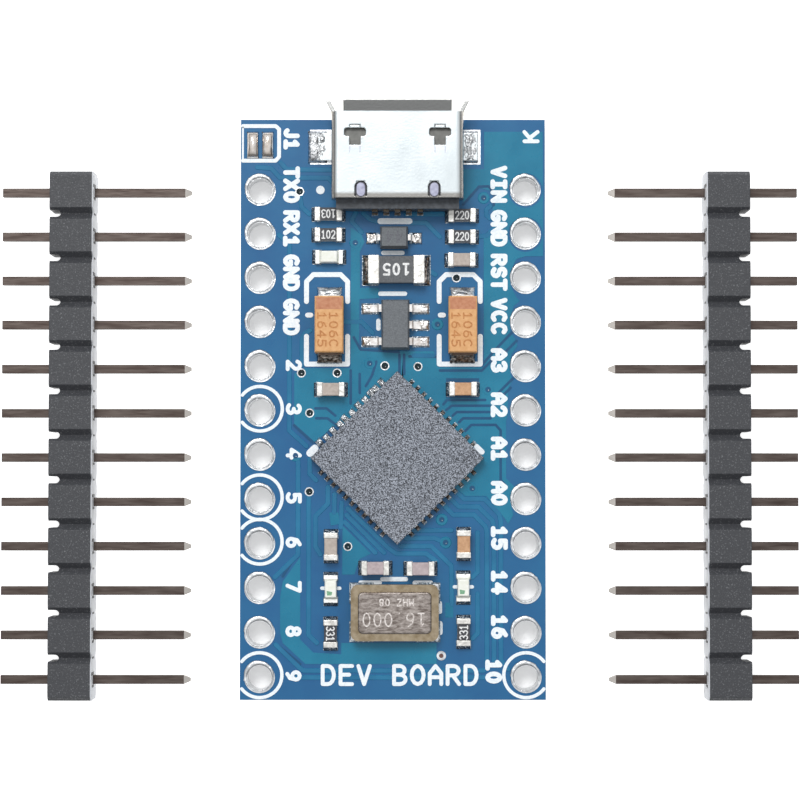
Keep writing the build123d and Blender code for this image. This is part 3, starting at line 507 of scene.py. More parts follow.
# %% Inner parts
# These are inside their packages: clear quartz, mirror-like silicon, and a rough dark pellet
quartz, tree, shader, place = finish("plated_quartz", "#e8ecee", 0.1, Transmission_Weight=0.8)
tint(tree, shader, grain(tree, place, 0.6), 0.3, 0.7, "#dfe5e8", "#f4f6f7")
silicon, tree, shader, place = finish("polished_silicon", "#5a5f68", 0.15)
tint(tree, shader, grain(tree, place, 0.3), 0.3, 0.7, "#4b505a", "#6a7079")
pellet, tree, shader, place = finish("sintered_pellet", "#4b4b4e", 0.8)
tint(tree, shader, grain(tree, place, 0.08), 0.3, 0.7, "#3a3a3d", "#646468")
dress(quartz, "crystal_blank")
dress(silicon, "mcu_die", "lamp_dies")
dress(pellet, "tantalum_anodes")

# %% [markdown]
# ## Flat strokes
# Copper traces, printed lines and letters are all the same shape: a line drawn with a round pen,
# a few hundredths of a millimetre high. So one function makes them all. Each straight run is a
# capsule, and where two capsules share an end, their round ends make a smooth joint.


# %% Capsules: every straight run of a round pen
HALF_TURN = 7
UNEVEN = 0.002
GOLDEN = 0.618


def capsules(starts, ends, width, low, high, slope=0.0):
    """Outline of each run: half a circle of the pen's radius round its end, then half a circle
    round its start, turned to the run's own angle. The lower outline's radius is larger by the
    slope, and walls join it to the upper one. Both faces stand out up to two microns more from
    run to run, as ink does, so that no two overlapping runs share a plane. The golden ratio's
    fraction spreads those heights evenly. All runs are worked out as one array."""
    starts, ends = np.atleast_2d(starts).astype(float), np.atleast_2d(ends).astype(float)
    run = ends - starts
    heading = np.arctan2(run[:, 1], run[:, 0])[:, None]
    sweep = np.linspace(-np.pi / 2, np.pi / 2, HALF_TURN)[None, :]
    angles = np.concatenate([heading + sweep, heading + np.pi + sweep], axis=1)
    middles = np.repeat(np.stack([ends, starts], axis=1), HALF_TURN, axis=1)
    ray = np.stack([np.cos(angles), np.sin(angles)], axis=2)
    radius = np.broadcast_to(np.asarray(width, float) / 2, (len(starts),))[:, None, None]
    uneven = UNEVEN * (np.arange(len(starts)) * GOLDEN % 1)
    levels = []
    for grow, level in ((slope, low - uneven), (0.0, high + uneven)):
        flat = middles + ray * (radius + grow)
        heights = np.broadcast_to(level[:, None, None], (*flat.shape[:2], 1))
        levels.append(np.concatenate([flat, heights], axis=2))
    points = np.concatenate(levels, axis=1)
    count, around = len(starts), 2 * HALF_TURN
    first = (np.arange(count) * 2 * around)[:, None]
    step = np.arange(around)
    after = (step + 1) % around
    walls = np.stack([step, after, after + around, step + around], axis=1)
    quads = (first[:, :, None] + walls[None]).reshape(-1, 4)
    tops = first + around + step
    floors = first + step[::-1]
    return points.reshape(-1, 3), [*quads.tolist(), *tops.tolist(), *floors.tolist()]


def slab(outline, low, high):
    """A flat plate: the outline at two heights, with walls between them. The sum of x times the
    step in y round the outline is negative if it runs clockwise, and then it is turned round."""
    outline = np.asarray(outline, float)
    if np.sum(outline[:, 0] * (np.roll(outline[:, 1], -1) - np.roll(outline[:, 1], 1))) < 0:
        outline = outline[::-1]
    count = len(outline)
    levels = [np.column_stack([outline, np.full(count, level)]) for level in (low, high)]
    step = np.arange(count)
    after = (step + 1) % count
    walls = np.stack([step, after, after + count, step + count], axis=1)
    return np.concatenate(levels), [*walls.tolist(), (step + count).tolist(), step[::-1].tolist()]


def piece(name, shapes, material, body="board", smooth=False):
    """Joins shapes into one mesh in metres, at the origin, and lets it ride on a body."""
    points, faces, first = [], [], 0
    for shape_points, shape_faces in shapes:
        points.append(shape_points)
        faces += [[first + corner for corner in face] for face in shape_faces]
        first += len(shape_points)
    mesh = bpy.data.meshes.new(name)
    mesh.from_pydata((np.concatenate(points) * MM).tolist(), [], faces)
    mesh.materials.append(material)
    if smooth:
        mesh.polygons.foreach_set("use_smooth", np.ones(len(mesh.polygons), bool))
    mesh.update()
    made = bpy.data.objects.new(name, mesh)
    bpy.context.scene.collection.objects.link(made)
    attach(made, body)
    print(name, len(mesh.polygons), "faces")
    return made


def runs(lines):
    """The straight runs of several polylines, as one array of starts and one of ends."""
    lines = [np.asarray(line, float) for line in lines]
    return np.concatenate([a[:-1] for a in lines]), np.concatenate([a[1:] for a in lines])


print("a capsule has", 4 * HALF_TURN, "corners")

# %% [markdown]
# ## Copper under the mask
# Etched copper stands 0.02 mm proud of the laminate, and the mask follows it, so traces show as
# low sloping ridges of a greener blue. Wide areas of copper, the pours, are slabs of the same
# height, and the clearances etched through them are drawn as thin dark lines on top.

# %% Copper: the pours
COPPER = 0.02
CLEAR = 1.0
mcu = centre("mcu_package")


def bite(x, y, hand):
    """Half a circle of clearance round a hole, from its north to its south."""
    angle = np.radians(np.linspace(90, -90, 15))
    return np.column_stack([x + hand * CLEAR * np.cos(angle), y + CLEAR * np.sin(angle)]).tolist()


north = board_high[1] - 0.7
east = board_high[0] - 0.12
south_of_two = hole_y[1] - 1.25
pours = [
    # East: from the socket's anchor down past the controller's east corner
    [(5.25, north), (right_x, north), *bite(right_x, hole_y[0], -1), *bite(right_x, hole_y[1], -1),
     (right_x, south_of_two), (7.1, 8.6), (6.75, 7.9), (6.75, 7.1), (7.1, 6.4), (7.3, 6.2), (6.95, 5.9),
     (6.72, 5.2), (6.75, 4.4), (7.1, 3.9), (7.15, 3.6), (6.8, 3.1), (6.68, 2.3), (6.85, 1.6), (6.6, 1.1),
     (6.6, -0.3), (6.49, -0.7), (6.49, -4.0), (7.05, -4.55), (6.72, -5.3), (6.9, -6.1), (6.6, -6.6),
     (6.42, -6.3), (5.35, -5.0), (4.15, -5.0), (3.2, -4.2), (0.3, -1.6), (0.6, 3.3), (2.35, 3.3),
     (2.62, 2.38), (5.22, 2.38), (5.22, 9.9), (5.7, 10.4), (5.78, 12.5), (4.9, 12.75), (4.05, 11.8),
     (4.05, 13.8), (5.25, 13.8)],
    [(right_x, north), (east, north), (east, south_of_two), (right_x, south_of_two),
     *bite(right_x, hole_y[1], 1)[::-1], *bite(right_x, hole_y[0], 1)[::-1]],
    # Middle: the ground strip west of the fuse and regulator, and the field round the vias
    [(-2.42, 10.45), (-1.8, 10.0), (-1.62, 9.6), (-1.9, 9.0), (-1.88, 6.95), (-0.8, 6.95), (-0.8, 6.35),
     (-1.92, 6.3), (-1.95, 3.5), (0.6, 3.3), (0.6, -1.0), (-3.4, -1.0), (-4.5, -1.95), (-5.66, -0.95),
     (-5.66, 2.0), (-5.1, 2.33), (-2.42, 2.33)],
    # South: beside the west lamp, below the crystal and at the controller's south-west
    [(-5.3, -8.5), (-5.3, -13.2), (-4.55, -13.95), (-2.95, -14.05), (-2.95, -13.4), (2.5, -13.4),
     (2.5, -14.6), (-5.0, -14.6), (-6.3, -13.4), (-6.45, -12.8), (-6.45, -10.8), (-6.3, -9.9), (-5.6, -8.9)],
    [(-2.88, -6.7), (-1.25, -8.3), (-1.9, -8.6), (-2.2, -9.5), (-2.9, -9.5)],
    [(-3.65, -5.95), (-3.12, -5.95), (-3.05, -6.6), (-3.55, -6.7)],
    [(3.0, -11.1), (3.45, -11.1), (3.45, -11.95), (3.0, -11.95)],
]
copper_top = board_top + COPPER
pour_shapes = [slab(outline, board_top, copper_top) for outline in pours]
piece("copper_pours", pour_shapes, copper_mask)

# %% Clearances etched through the pours
GAP = 0.15
GAP_LIFT = 0.004
gaps = [
    [(4.05, 11.75), (4.95, 12.78), (5.5, 12.8), (5.85, 12.4), (5.8, 11.7)],
    [(6.85, 4.4), (5.8, 3.3), (5.2, 2.6)],
    [(7.1, 3.9), (6.4, 3.2)],
    [(6.9, 1.75), (5.95, 0.8)],
    [(6.75, 1.2), (6.3, 0.75)],
    [(2.7, 2.19), (5.1, 2.19), (5.7, 2.8)],
    [(2.9, 0.25), (3.1, 0.5), (5.3, 0.5)],
    [(3.07, -0.07), (3.37, 0.17), (5.55, 0.17)],
    [(3.43, -0.4), (3.67, -0.19), (5.55, -0.19)],
    [(3.79, -0.78), (4.03, -0.55), (5.6, -0.55)],
    [(4.15, -1.28), (4.5, -0.93), (5.9, -0.93), (6.18, -1.25), (6.18, -4.1), (6.5, -4.45)],
    [(0.38, 3.1), (0.38, 2.0)],
    [(0.65, 3.1), (0.65, 2.0)],
    [(0.95, 3.0), (2.5, 2.98)],
    [(-2.25, 4.1), (-1.85, 3.4), (0.35, 3.25)],
    [(-0.95, 2.7), (-1.2, 1.9), (-1.55, 1.3)],
    [(-2.42, 2.2), (-2.42, 0.3)],
    [(-1.9, 2.0), (-1.9, 0.9)],
    [(-4.4, -0.55), (-3.75, -0.55), (-3.3, -0.9)],
    [(-4.45, 0.02), (-3.8, 0.02), (-3.3, -0.4)],
    [(-5.66, -0.95), (-4.55, -1.95)],
    [(-5.6, -8.45), (-6.3, -9.6)],
    [(-6.5, -13.6), (-5.3, -14.6)],
]
patch = [(3.05, 1.75), (4.95, 1.75), (4.95, 0.6), (3.05, 0.6)]
gap_top = copper_top + GAP_LIFT
gap_shapes = [capsules(*runs(gaps), GAP, board_top, gap_top), slab(patch, board_top, gap_top)]
piece("etched_gaps", gap_shapes, gap_mask)

# %% Traces
TRACE = 0.24
traces = [
    # The jumper, the first two west pins and the socket
    [(-7.8, 13.9), (-7.0, 13.85), (-6.5, 13.3), (-3.7, 13.28), (-3.4, 12.95)],
    [(-6.45, 14.15), (-6.1, 13.77), (-3.5, 13.75)],
    [(-5.35, 12.3), (-5.25, 11.6), (-4.8, 11.2)],
    [(-6.55, 10.0), (-5.94, 9.4), (-5.94, -1.25), (-4.95, -2.15)],
    [(-2.12, 11.3), (-2.38, 10.8), (-1.8, 10.15)],
    [(-1.7, 11.24), (-1.28, 10.88), (-0.9, 10.76)],
    [(0.75, 11.2), (2.9, 11.2)],
    [(1.05, 10.7), (1.9, 10.7), (2.7, 9.88)],
    [(4.95, 9.9), (5.4, 9.95), (5.75, 10.3)],
    [(5.6, 11.65), (5.38, 11.45), (5.38, 11.15), (5.6, 10.95)],
    [(2.05, 7.95), (2.45, 7.7)],
    # The regulator and its two tantalums
    [(-2.75, 4.99), (-1.8, 4.99), (-1.15, 4.35)],
    [(-4.75, 4.5), (-5.08, 4.3), (-5.22, 4.0), (-5.22, 2.5)],
    [(2.3, 3.05), (1.2, 3.05)],
    # West and south of the controller
    [(-5.43, -3.0), (-5.43, -8.35), (-6.75, -9.65)],
    [(-4.76, -2.9), (-4.76, -3.75), (-4.4, -4.1)],
    [(-4.82, -4.9), (-4.82, -12.95), (-4.35, -13.4)],
    [(-3.72, -4.5), (-3.72, -5.45), (-4.43, -6.15), (-4.43, -7.9), (-4.15, -8.35)],
    [(-3.34, -4.9), (-3.36, -5.95)],
    [(-2.93, -5.4), (-2.98, -6.8)],
    [(-2.6, -5.7), (-0.3, -7.95), (0.2, -8.3), (1.9, -8.3), (2.5, -8.75)],
    [(-2.65, -6.1), (-0.5, -8.25)],
    [(-2.75, -6.5), (-1.0, -8.25)],
    [(1.15, -6.97), (3.35, -6.97)],
    [(0.75, -7.42), (2.4, -7.42), (2.95, -7.65)],
    [(0.45, -7.88), (2.2, -7.88), (3.35, -9.0), (3.37, -11.2)],
    # The fan to the east pins
    [(3.5, -4.6), (4.07, -5.17), (5.25, -5.17), (6.1, -6.05), (6.18, -6.4), (6.18, -14.4), (6.6, -14.9)],
    [(3.1, -4.95), (3.78, -5.62), (4.9, -5.62), (5.7, -6.4), (5.79, -6.8), (5.79, -14.5)],
    [(2.7, -5.3), (3.45, -6.08), (4.65, -6.08), (5.3, -6.75), (5.38, -7.0), (5.38, -14.6)],
    [(4.85, -7.1), (4.85, -9.35), (4.55, -9.65)],
    [(4.85, -10.6), (4.85, -12.85), (4.55, -13.15)],
    [(-6.7, -13.5), (-5.3, -14.85), (-5.1, -14.98), (5.2, -14.98)],
    [(-5.5, -15.37), (5.3, -15.37)],
]
TRACE_LIFT, SHOULDER_RUN = 0.006, 0.02
trace_shape = capsules(*runs(traces), TRACE, board_top, copper_top + TRACE_LIFT, SHOULDER_RUN)
piece("copper_traces", [trace_shape], trace_mask)

# %% [markdown]
# ## Vias
# A via is a tiny plated hole that joins the copper of both faces. Its ring shows bright through
# the mask; its bore is painted dark for the shade in the hole, with a small bright dot as a
# painted glint where the mask dips into it.

# %% Vias
via_bright = [
    (-5.36, 12.5), (3.65, 7.52), (-0.46, 2.46), (1.44, 2.42), (-3.2, 2.05), (-5.25, 2.05),
    (-4.77, -0.25), (-4.79, -4.76), (-2.58, -7.89),
]
via_faint = [
    (-2.16, 9.54), (5.22, 12.13), (2.56, 4.85), (-1.33, 2.6), (-5.58, -2.69), (4.55, -4.57),
    (2.8, -6.36), (3.02, -7.67), (5.46, 1.1),
]
VIA_RING, VIA_BORE = 0.52, 0.4
# Each bore is painted nearly black: painted shade for the hole, on the mask that ran into it
bore_shade, tree, shader, place = finish("via_bore_painted_shade", "#0e1c1e", 0.5, Specular_IOR_Level=0.2)
tint(tree, shader, grain(tree, place, 0.2), 0.3, 0.7, "#0b1715", "#16303a")


def dots(points, width, low, high, slope=0.0):
    """Round spots: capsules of no length."""
    points = np.asarray(points, float)
    return capsules(points, points + np.array([1e-6, 0.0]), width, low, high, slope)


# Epoxy ink is a bright matt white with a cool cast
legend_white, tree, shader, place = finish("white_legend_ink", "#e9f0f5", 0.6)
tint(tree, shader, grain(tree, place, 0.12), 0.3, 0.6, "#e4eef4", "#f8fcff")
relief(tree, shader, grain(tree, place, 0.1), 0.01)
via_top = copper_top + 0.018
piece("via_rings", [dots(via_bright, VIA_RING, board_top, via_top, 0.03)], tin)
lands = dots(via_faint, VIA_RING + 0.1, board_top, copper_top + 0.008, 0.04)
piece("via_lands", [lands], copper_mask)
bores = dots(via_bright, VIA_BORE, board_top, via_top + 0.002)
filled = dots(via_faint, VIA_BORE - 0.08, board_top, via_top + 0.002)
glints = dots(np.array(via_bright + via_faint) + (0.03, -0.04), 0.05, board_top, via_top + 0.004)
piece("via_bores", [bores], bore_shade)
piece("filled_via_bores", [filled], gap_mask)
piece("via_glints", [glints], solder)

# %% A test point beside the crystal
TEST_POINT = [(2.77, -14.13)]
piece("test_point", [dots(TEST_POINT, 0.54, board_top, via_top, 0.02)], tin)
# Flux that burnt on the test point is a glossy dark brown spot
flux, tree, shader, place = finish("burnt_flux_residue", "#5b3a33", 0.3)
tint(tree, shader, grain(tree, place, 0.1), 0.3, 0.7, "#472b26", "#7a544b")
piece("test_point_flux", [dots(TEST_POINT, 0.26, board_top, via_top + 0.004)], flux)

# %% [markdown]
# ## The underside
# The other face has no parts, only a ground pour with a few traces through it, and the lower ends
# of the vias. All of it is thinner than a hair, so that the board still lies flat.

# %% Copper of the underside
UNDER = -0.004
CHANNEL = 0.62
low_pour = [
    (-6.3, 15.9), (6.3, 15.9), (6.3, 9.2), (6.3, -3.4), (5.5, -4.2), (5.5, -15.9), (-5.5, -15.9),
    (-5.5, -9.3), (-6.3, -8.5),
]
low_gaps = [
    [(-6.3, 12.56), (-4.6, 12.56), (-3.9, 11.8), (-3.9, 3.2), (-1.4, 0.7), (-1.4, -3.2)],
    [(-6.3, 10.02), (-4.9, 10.02), (-4.3, 9.4), (-4.3, 2.8), (-1.9, 0.4), (-1.9, -3.4)],
    [(-6.3, 2.4), (-5.2, 2.4), (-2.4, -0.4), (-2.4, -3.6)],
    [(-5.4, -5.22), (-3.9, -5.22), (-2.7, -4.1)],
    [(5.6, -7.76), (4.3, -7.76), (2.4, -5.9), (2.4, -4.1)],
    [(5.5, -10.3), (4.0, -10.3), (1.9, -8.2), (1.9, -4.4)],
    [(6.3, 7.48), (4.6, 7.48), (2.7, 5.6), (2.7, -0.6)],
    [(6.3, 4.94), (5.1, 4.94), (3.2, 3.0), (3.2, -0.9)],
    [(-3.0, -15.2), (-3.0, -11.0), (-0.6, -8.6), (-0.6, -4.4)],
    [(0.4, -15.2), (0.4, -4.6)],
]
lower = via_bright + via_faint
piece("underside_pour", [slab(low_pour, UNDER, 0.002)], copper_mask)
piece("underside_gaps", [capsules(*runs(low_gaps), CHANNEL, UNDER - 0.002, 0.0)], gap_mask)
piece("underside_traces", [capsules(*runs(low_gaps), TRACE, UNDER - 0.004, 0.0)], trace_mask)
piece("underside_via_rings", [dots(lower, VIA_RING, UNDER - 0.007, 0.0)], tin)
piece("underside_via_bores", [dots(lower, VIA_BORE, UNDER - 0.009, 0.0)], bore_shade)

# %% [markdown]
# ## The legend
# The white print is epoxy ink pushed through a screen with a round-cornered stroke. Its letters
# are drawn with the same pen as the traces: each is a few lines and bows on a square one unit
# wide and high.


# %% A pen alphabet
def bow(x, y, wide, tall, begin, end, steps=9):
    """Part of an ellipse round (x, y), from one angle to another in degrees."""
    angle = np.radians(np.linspace(begin, end, steps))
    return np.column_stack([x + wide * np.cos(angle), y + tall * np.sin(angle)])


ALPHABET = {
    "0": [bow(0.5, 0.5, 0.46, 0.5, 0, 360, 13)],
    "1": [[(0.15, 0.78), (0.5, 1), (0.5, 0)], [(0.1, 0), (0.9, 0)]],
    "2": [[*bow(0.5, 0.7, 0.46, 0.3, 165, -30), (0.05, 0), (1, 0)]],
    "3": [bow(0.42, 0.75, 0.46, 0.25, 150, -90), bow(0.42, 0.25, 0.54, 0.25, 90, -150)],
    "4": [[(0.72, 0), (0.72, 1), (0, 0.32), (1, 0.32)]],
    "5": [[(0.95, 1), (0.1, 1), *bow(0.42, 0.31, 0.55, 0.31, 125, -140)]],
    "6": [bow(0.5, 0.3, 0.46, 0.3, 0, 360, 13), [(0.06, 0.36), (0.22, 0.78), (0.75, 1)]],
    "7": [[(0, 1), (1, 1), (0.35, 0)]],
    "8": [bow(0.5, 0.76, 0.38, 0.24, 0, 360, 12), bow(0.5, 0.27, 0.47, 0.27, 0, 360, 13)],
    "9": [bow(0.5, 0.7, 0.46, 0.3, 0, 360, 13), [(0.94, 0.64), (0.78, 0.22), (0.25, 0)]],
    "A": [[(0, 0), (0, 0.6), (0.5, 1), (1, 0.6), (1, 0)], [(0, 0.38), (1, 0.38)]],
    "B": [[(0, 0), (0, 1), *bow(0.5, 0.76, 0.42, 0.24, 90, -90), *bow(0.5, 0.26, 0.5, 0.26, 90, -90), (0, 0)],
          [(0, 0.52), (0.5, 0.52)]],
    "C": [bow(0.55, 0.5, 0.55, 0.5, 50, 310)],
    "D": [[(0, 0), (0, 1), *bow(0.45, 0.5, 0.52, 0.5, 90, -90), (0, 0)]],
    "E": [[(1, 0), (0, 0), (0, 1), (1, 1)], [(0, 0.52), (0.75, 0.52)]],
    "G": [[*bow(0.55, 0.5, 0.55, 0.5, 55, 320), (1, 0.45), (0.6, 0.45)]],
    "H": [[(0, 0), (0, 1)], [(1, 0), (1, 1)], [(0, 0.5), (1, 0.5)]],
    "I": [[(0.5, 0), (0.5, 1)], [(0.15, 0), (0.85, 0)], [(0.15, 1), (0.85, 1)]],
    "K": [[(0, 0), (0, 1)], [(1, 1), (0, 0.4)], [(0.35, 0.6), (1, 0)]],
    "J": [[(0.9, 1), (0.9, 0.3), *bow(0.5, 0.28, 0.4, 0.28, 0, -150, 6)]],
    "M": [[(0, 0), (0, 1), (0.5, 0.45), (1, 1), (1, 0)]],
    "N": [[(0, 0), (0, 1), (1, 0), (1, 1)]],
    "O": [bow(0.5, 0.5, 0.52, 0.5, 0, 360, 13)],
    "R": [[(0, 0), (0, 1), *bow(0.5, 0.74, 0.46, 0.26, 90, -90), (0, 0.48)], [(0.45, 0.48), (1, 0)]],
    "S": [[*bow(0.5, 0.75, 0.46, 0.25, 30, 270, 7), *bow(0.5, 0.25, 0.46, 0.25, 90, -150, 7)]],
    "T": [[(0, 1), (1, 1)], [(0.5, 1), (0.5, 0)]],
    "V": [[(0, 1), (0.5, 0), (1, 1)]],
    "X": [[(0, 0), (1, 1)], [(0, 1), (1, 0)]],
    "Z": [[(0, 1), (1, 1), (0, 0), (1, 0)]],
    ".": [[(0.5, 0), (0.5, 0.02)]],
    " ": [],
}


def lettering(text, middle, turn, wide, tall, advance):
    """Strokes of a line of text: each letter is scaled to its size and set one advance after the
    last, then the line is centred, turned by the angle in degrees and moved to its middle."""
    angle = math.radians(turn)
    across = np.array([math.cos(angle), math.sin(angle)])
    upward = np.array([-math.sin(angle), math.cos(angle)])
    length = advance * (len(text) - 1) + wide
    lines = []
    for number, letter in enumerate(text):
        for stroke in ALPHABET[letter]:
            stroke = np.asarray(stroke, float)
            u = (stroke[:, 0] * wide + number * advance - length / 2)[:, None]
            v = ((stroke[:, 1] - 0.5) * tall)[:, None]
            lines.append(np.asarray(middle) + u * across + v * upward)
    return lines


print(len(ALPHABET), "letters in the alphabet")

# %% Pin names
INK_TOP = copper_top + 0.014
left_names = ["TX0", "RX1", "GND", "GND", "2", "3", "4", "5", "6", "7", "8", "9"]
right_names = ["VIN", "GND", "RST", "VCC", "A3", "A2", "A1", "A0", "15", "14", "16", "10"]
label = {"wide": 0.46, "tall": 0.71, "advance": 0.71}
WORD_PEN, FINE_PEN = 0.265, 0.22
# For each side: its names, where they stand, how far a single digit moves in, and how far a word
# is set above its hole
columns = ((left_names, left_x + 1.79, 0.15, 0.33), (right_names, right_x - 1.52, 0.0, 0.36))
words, digits = [], []
for names, x, inward, rise in columns:
    for name, y in zip(names, hole_y):
        single = len(name) == 1
        spot = (x + inward * single - 0.33 * (name == "10"), y + (0.1 if single else rise))
        strokes = lettering(name, spot, -90, **label)
        (digits if single else words).extend(strokes)
jumper_low, jumper_high = board_low[0] + 0.12, board_low[0] + 2.2
words += lettering("J1", (jumper_high + 0.72, 15.55), -90, 0.42, 0.68, 0.66)
digits += lettering("K", (right_x + 0.33, 15.67), 90, 0.54, 0.76, 0)
title = lettering("DEV BOARD", (0.4, board_low[1] + 1.42), 0, 0.66, 1.03, 1.02)
text_shapes = [
    capsules(*runs(words), WORD_PEN, board_top, INK_TOP),
    capsules(*runs(digits), FINE_PEN, board_top, INK_TOP),
    capsules(*runs(title), FINE_PEN, board_top, INK_TOP),
]
piece("legend_text", text_shapes, legend_white)

# %% Outlines and marks of the legend
# Circles mark the pins that can dim a lamp; those near the edge are cut off by it
RING_RADIUS = 1.28
circle = bow(0, 0, RING_RADIUS, RING_RADIUS, 0, 360, 49)
half_board = board_high[0] - 0.1
rings = []
for x, circled in ((left_x, (5, 7, 8, 11)), (right_x, (11,))):
    for number in circled:
        closed = circle + (x, hole_y[number] + 0.14)
        inside = np.abs(closed[:, 0]) < half_board
        rings += [closed[i:i + 2] for i in np.nonzero(inside[:-1] & inside[1:])[0]]
brackets = []
for name in ("tantalum_left_body", "tantalum_right_body"):
    x, y = centre(name) - (0.15, 0.0)
    half, top, cut, foot = 1.18, y + 2.95, 0.4, y - 2.2
    brackets += [
        [(x - half, y + 1.4), (x - half, top - cut), (x - half + cut, top), (x + half - cut, top),
         (x + half, top - cut), (x + half, y + 1.4)],
        [(x - half, y - 0.6), (x - half, foot), (x + half, foot), (x + half, y - 0.6)],
        [(x - 1.12, y + 0.62), (x - 0.93, y + 0.62)],
    ]
lamp_ticks = []
for name in ("receive_lamp_base", "transmit_lamp_base"):
    low, high = span(name)
    x, y = centre(name)
    lamp_ticks += [[(low[0] - 0.15, y + 0.04), (high[0] + 0.15, y + 0.04)]]
jumper_box = [
    (jumper_low, 16.28), (jumper_high - 0.2, 16.28), (jumper_high, 16.1), (jumper_high, 14.5),
    (jumper_high - 0.2, 14.28), (jumper_low, 14.28),
]
thin_bars = [
    [(-0.55, 8.96), (0.55, 8.96)], [(-0.72, 6.61), (0.7, 6.61)], [(-0.83, 5.05), (-0.83, 4.6)],
    [(-1.85, -9.96), (-0.75, -9.96)], [(1.25, -9.96), (2.18, -9.96)], [(-0.6, -9.76), (0.75, -9.76)],
    [(2.69, -11.14), (2.69, -11.62)], [(2.72, -12.28), (2.72, -12.82)],
]
print_shapes = [
    capsules(*runs(rings), 0.19, board_top, INK_TOP),
    capsules(*runs(brackets), 0.28, board_top, INK_TOP),
    capsules(*runs([jumper_box]), 0.22, board_top, INK_TOP),
    capsules(*runs(lamp_ticks), 0.2, board_top, INK_TOP),
    capsules([(jumper_low, 16.2)], [(jumper_low, 14.36)], 0.1, board_top, INK_TOP),
    capsules([(-0.72, 10.79)], [(0.96, 10.79)], 0.34, board_top, INK_TOP),
    capsules(*runs(thin_bars), 0.25, board_top, INK_TOP),
    capsules([mcu + (-5.0, 0.28)], [mcu + (-4.72, 0.56)], 0.42, board_top, INK_TOP),
    capsules([mcu + (4.55, 0.66)], [mcu + (4.86, 0.35)], 0.3, board_top, INK_TOP),
    dots([(-4.17, 12.59)], 0.5, board_top, INK_TOP),
]
piece("legend_outlines", print_shapes, legend_white)

# %% [markdown]
# ## Solder
# Paste melts into a small hill on each land and climbs the end of the part that stands in it. A
# hill is a dome on a grid of two parameters, with small lumps from seeded noise, so that each
# joint catches the light in its own way. Where it climbs a part, one end is high and the other
# thins out. Many joints are also drawn in a dark solder with a few bright specks: painted shade
# and painted glints.


# %% Solder hills
lumps = np.random.default_rng(7)
GRID = 13


def solder_hill(x, y, length, width, turn, height, lump, climb=0.0, flat=4):
    """Height is h times (1 - |u| to the power flat) times (1 - |v| to the same), to the power
    0.45, where u and v run from -1 to 1 over the land, times one plus lumps of random noise. With
    a climb, it is times ((1 - u) / 2) to that power: full at the part, nothing at the far end."""
    u, v = np.meshgrid(np.linspace(-1, 1, GRID), np.linspace(-1, 1, GRID), indexing="ij")
    reach = (1 - np.abs(u) ** flat) if climb == 0 else np.clip((1 - u) / 2, 0, 1) ** (climb / 0.45)
    dome = (reach * (1 - np.abs(v) ** flat)) ** 0.45
    rough = lumps.normal(0, 1, (GRID, GRID))
    rough = (rough + np.roll(rough, 1, 0) + np.roll(rough, 1, 1)) / 3
    z = np.maximum(height * dome * (1 + lump * rough), 0) * (dome > 0)
    angle = math.radians(turn)
    px = x + u * length / 2 * math.cos(angle) - v * width / 2 * math.sin(angle)
    py = y + u * length / 2 * math.sin(angle) + v * width / 2 * math.cos(angle)
    top = np.stack([px, py, board_top + 0.042 + z], axis=2).reshape(-1, 3)
    floor = np.stack([px, py, np.full_like(px, board_top + 0.01)], axis=2).reshape(-1, 3)
    index = np.arange(GRID * GRID).reshape(GRID, GRID)
    quads = np.stack([index[:-1, :-1], index[1:, :-1], index[1:, 1:], index[:-1, 1:]], axis=2)
    quads = quads.reshape(-1, 4)
    under = quads[:, ::-1] + GRID * GRID
    rim = np.concatenate([index[0, :-1], index[:-1, -1], index[-1, :0:-1], index[:0:-1, 0]])
    after = np.roll(rim, -1)
    walls = np.stack([rim, after, after + GRID * GRID, rim + GRID * GRID], axis=1)
    return np.concatenate([top, floor]), np.concatenate([quads, under, walls]).tolist()


hills, lead_hills, bright_hills, shaded_hills = [], [], [], []
chip_endings = ("_capacitor", "_capacitor_left", "_capacitor_right")
chips = resistors + [name for name in nodes if name.endswith(chip_endings)]
chips += [name for name in nodes if name.endswith("lamp_base")]
for name in chips:
    low, high = span(name)
    size = high - low
    turn = 0 if size[0] > size[1] else 90
    reach = max(size[0], size[1]) / 2
    for hand in (0, 180):
        angle = math.radians(turn + hand)
        x, y = centre(name) + (reach + 0.12) * np.array([math.cos(angle), math.sin(angle)])
        hills.append(solder_hill(x, y, 0.22, 0.78, turn + hand, 0.24, 0.3, climb=0.9))
# North joints of the tantalums are bright tin, the south ones dark brown: painted shade away from the lamp
for name in ("tantalum_left_body", "tantalum_right_body"):
    x, y = centre(name)
    bright_hills.append(solder_hill(x, y + 1.98, 0.5, 1.44, 90, 0.4, 0.15, climb=0.8))
    shaded_hills.append(solder_hill(x, y - 1.92, 0.42, 1.44, -90, 0.4, 0.25, climb=0.8))
x, y = centre("fuse_body")
for hand in (0, 180):
    side = 1 - hand / 90
    shaded_hills.append(solder_hill(x + side * 1.75, y, 0.34, 1.72, hand, 0.35, 0.2, climb=0.8))
x, y = centre("regulator_body")
for hand, rows in ((1, (-0.95, 0.0, 0.95)), (-1, (-0.95, 0.95))):
    turn = 90 - hand * 90
    lead_hills += [solder_hill(x + hand * 1.62, y + row, 0.6, 0.56, turn, 0.1, 0.4) for row in rows]
x, y = centre("diode_body")
for hand in (-1, 1):
    lead_hills.append(solder_hill(x + hand * 1.33, y, 0.56, 0.66, 0, 0.16, 0.5))
piece("chip_fillets", hills, fillet_tin, smooth=True)
piece("gull_lead_joints", lead_hills, bent, smooth=True)
piece("cathode_joints", bright_hills, tin, smooth=True)
piece("joints_painted_shade", shaded_hills, solder_painted_shade, smooth=True)

# %% Solder round the controller, the socket's anchors and the jumper
edge_hills, blobs = [], []
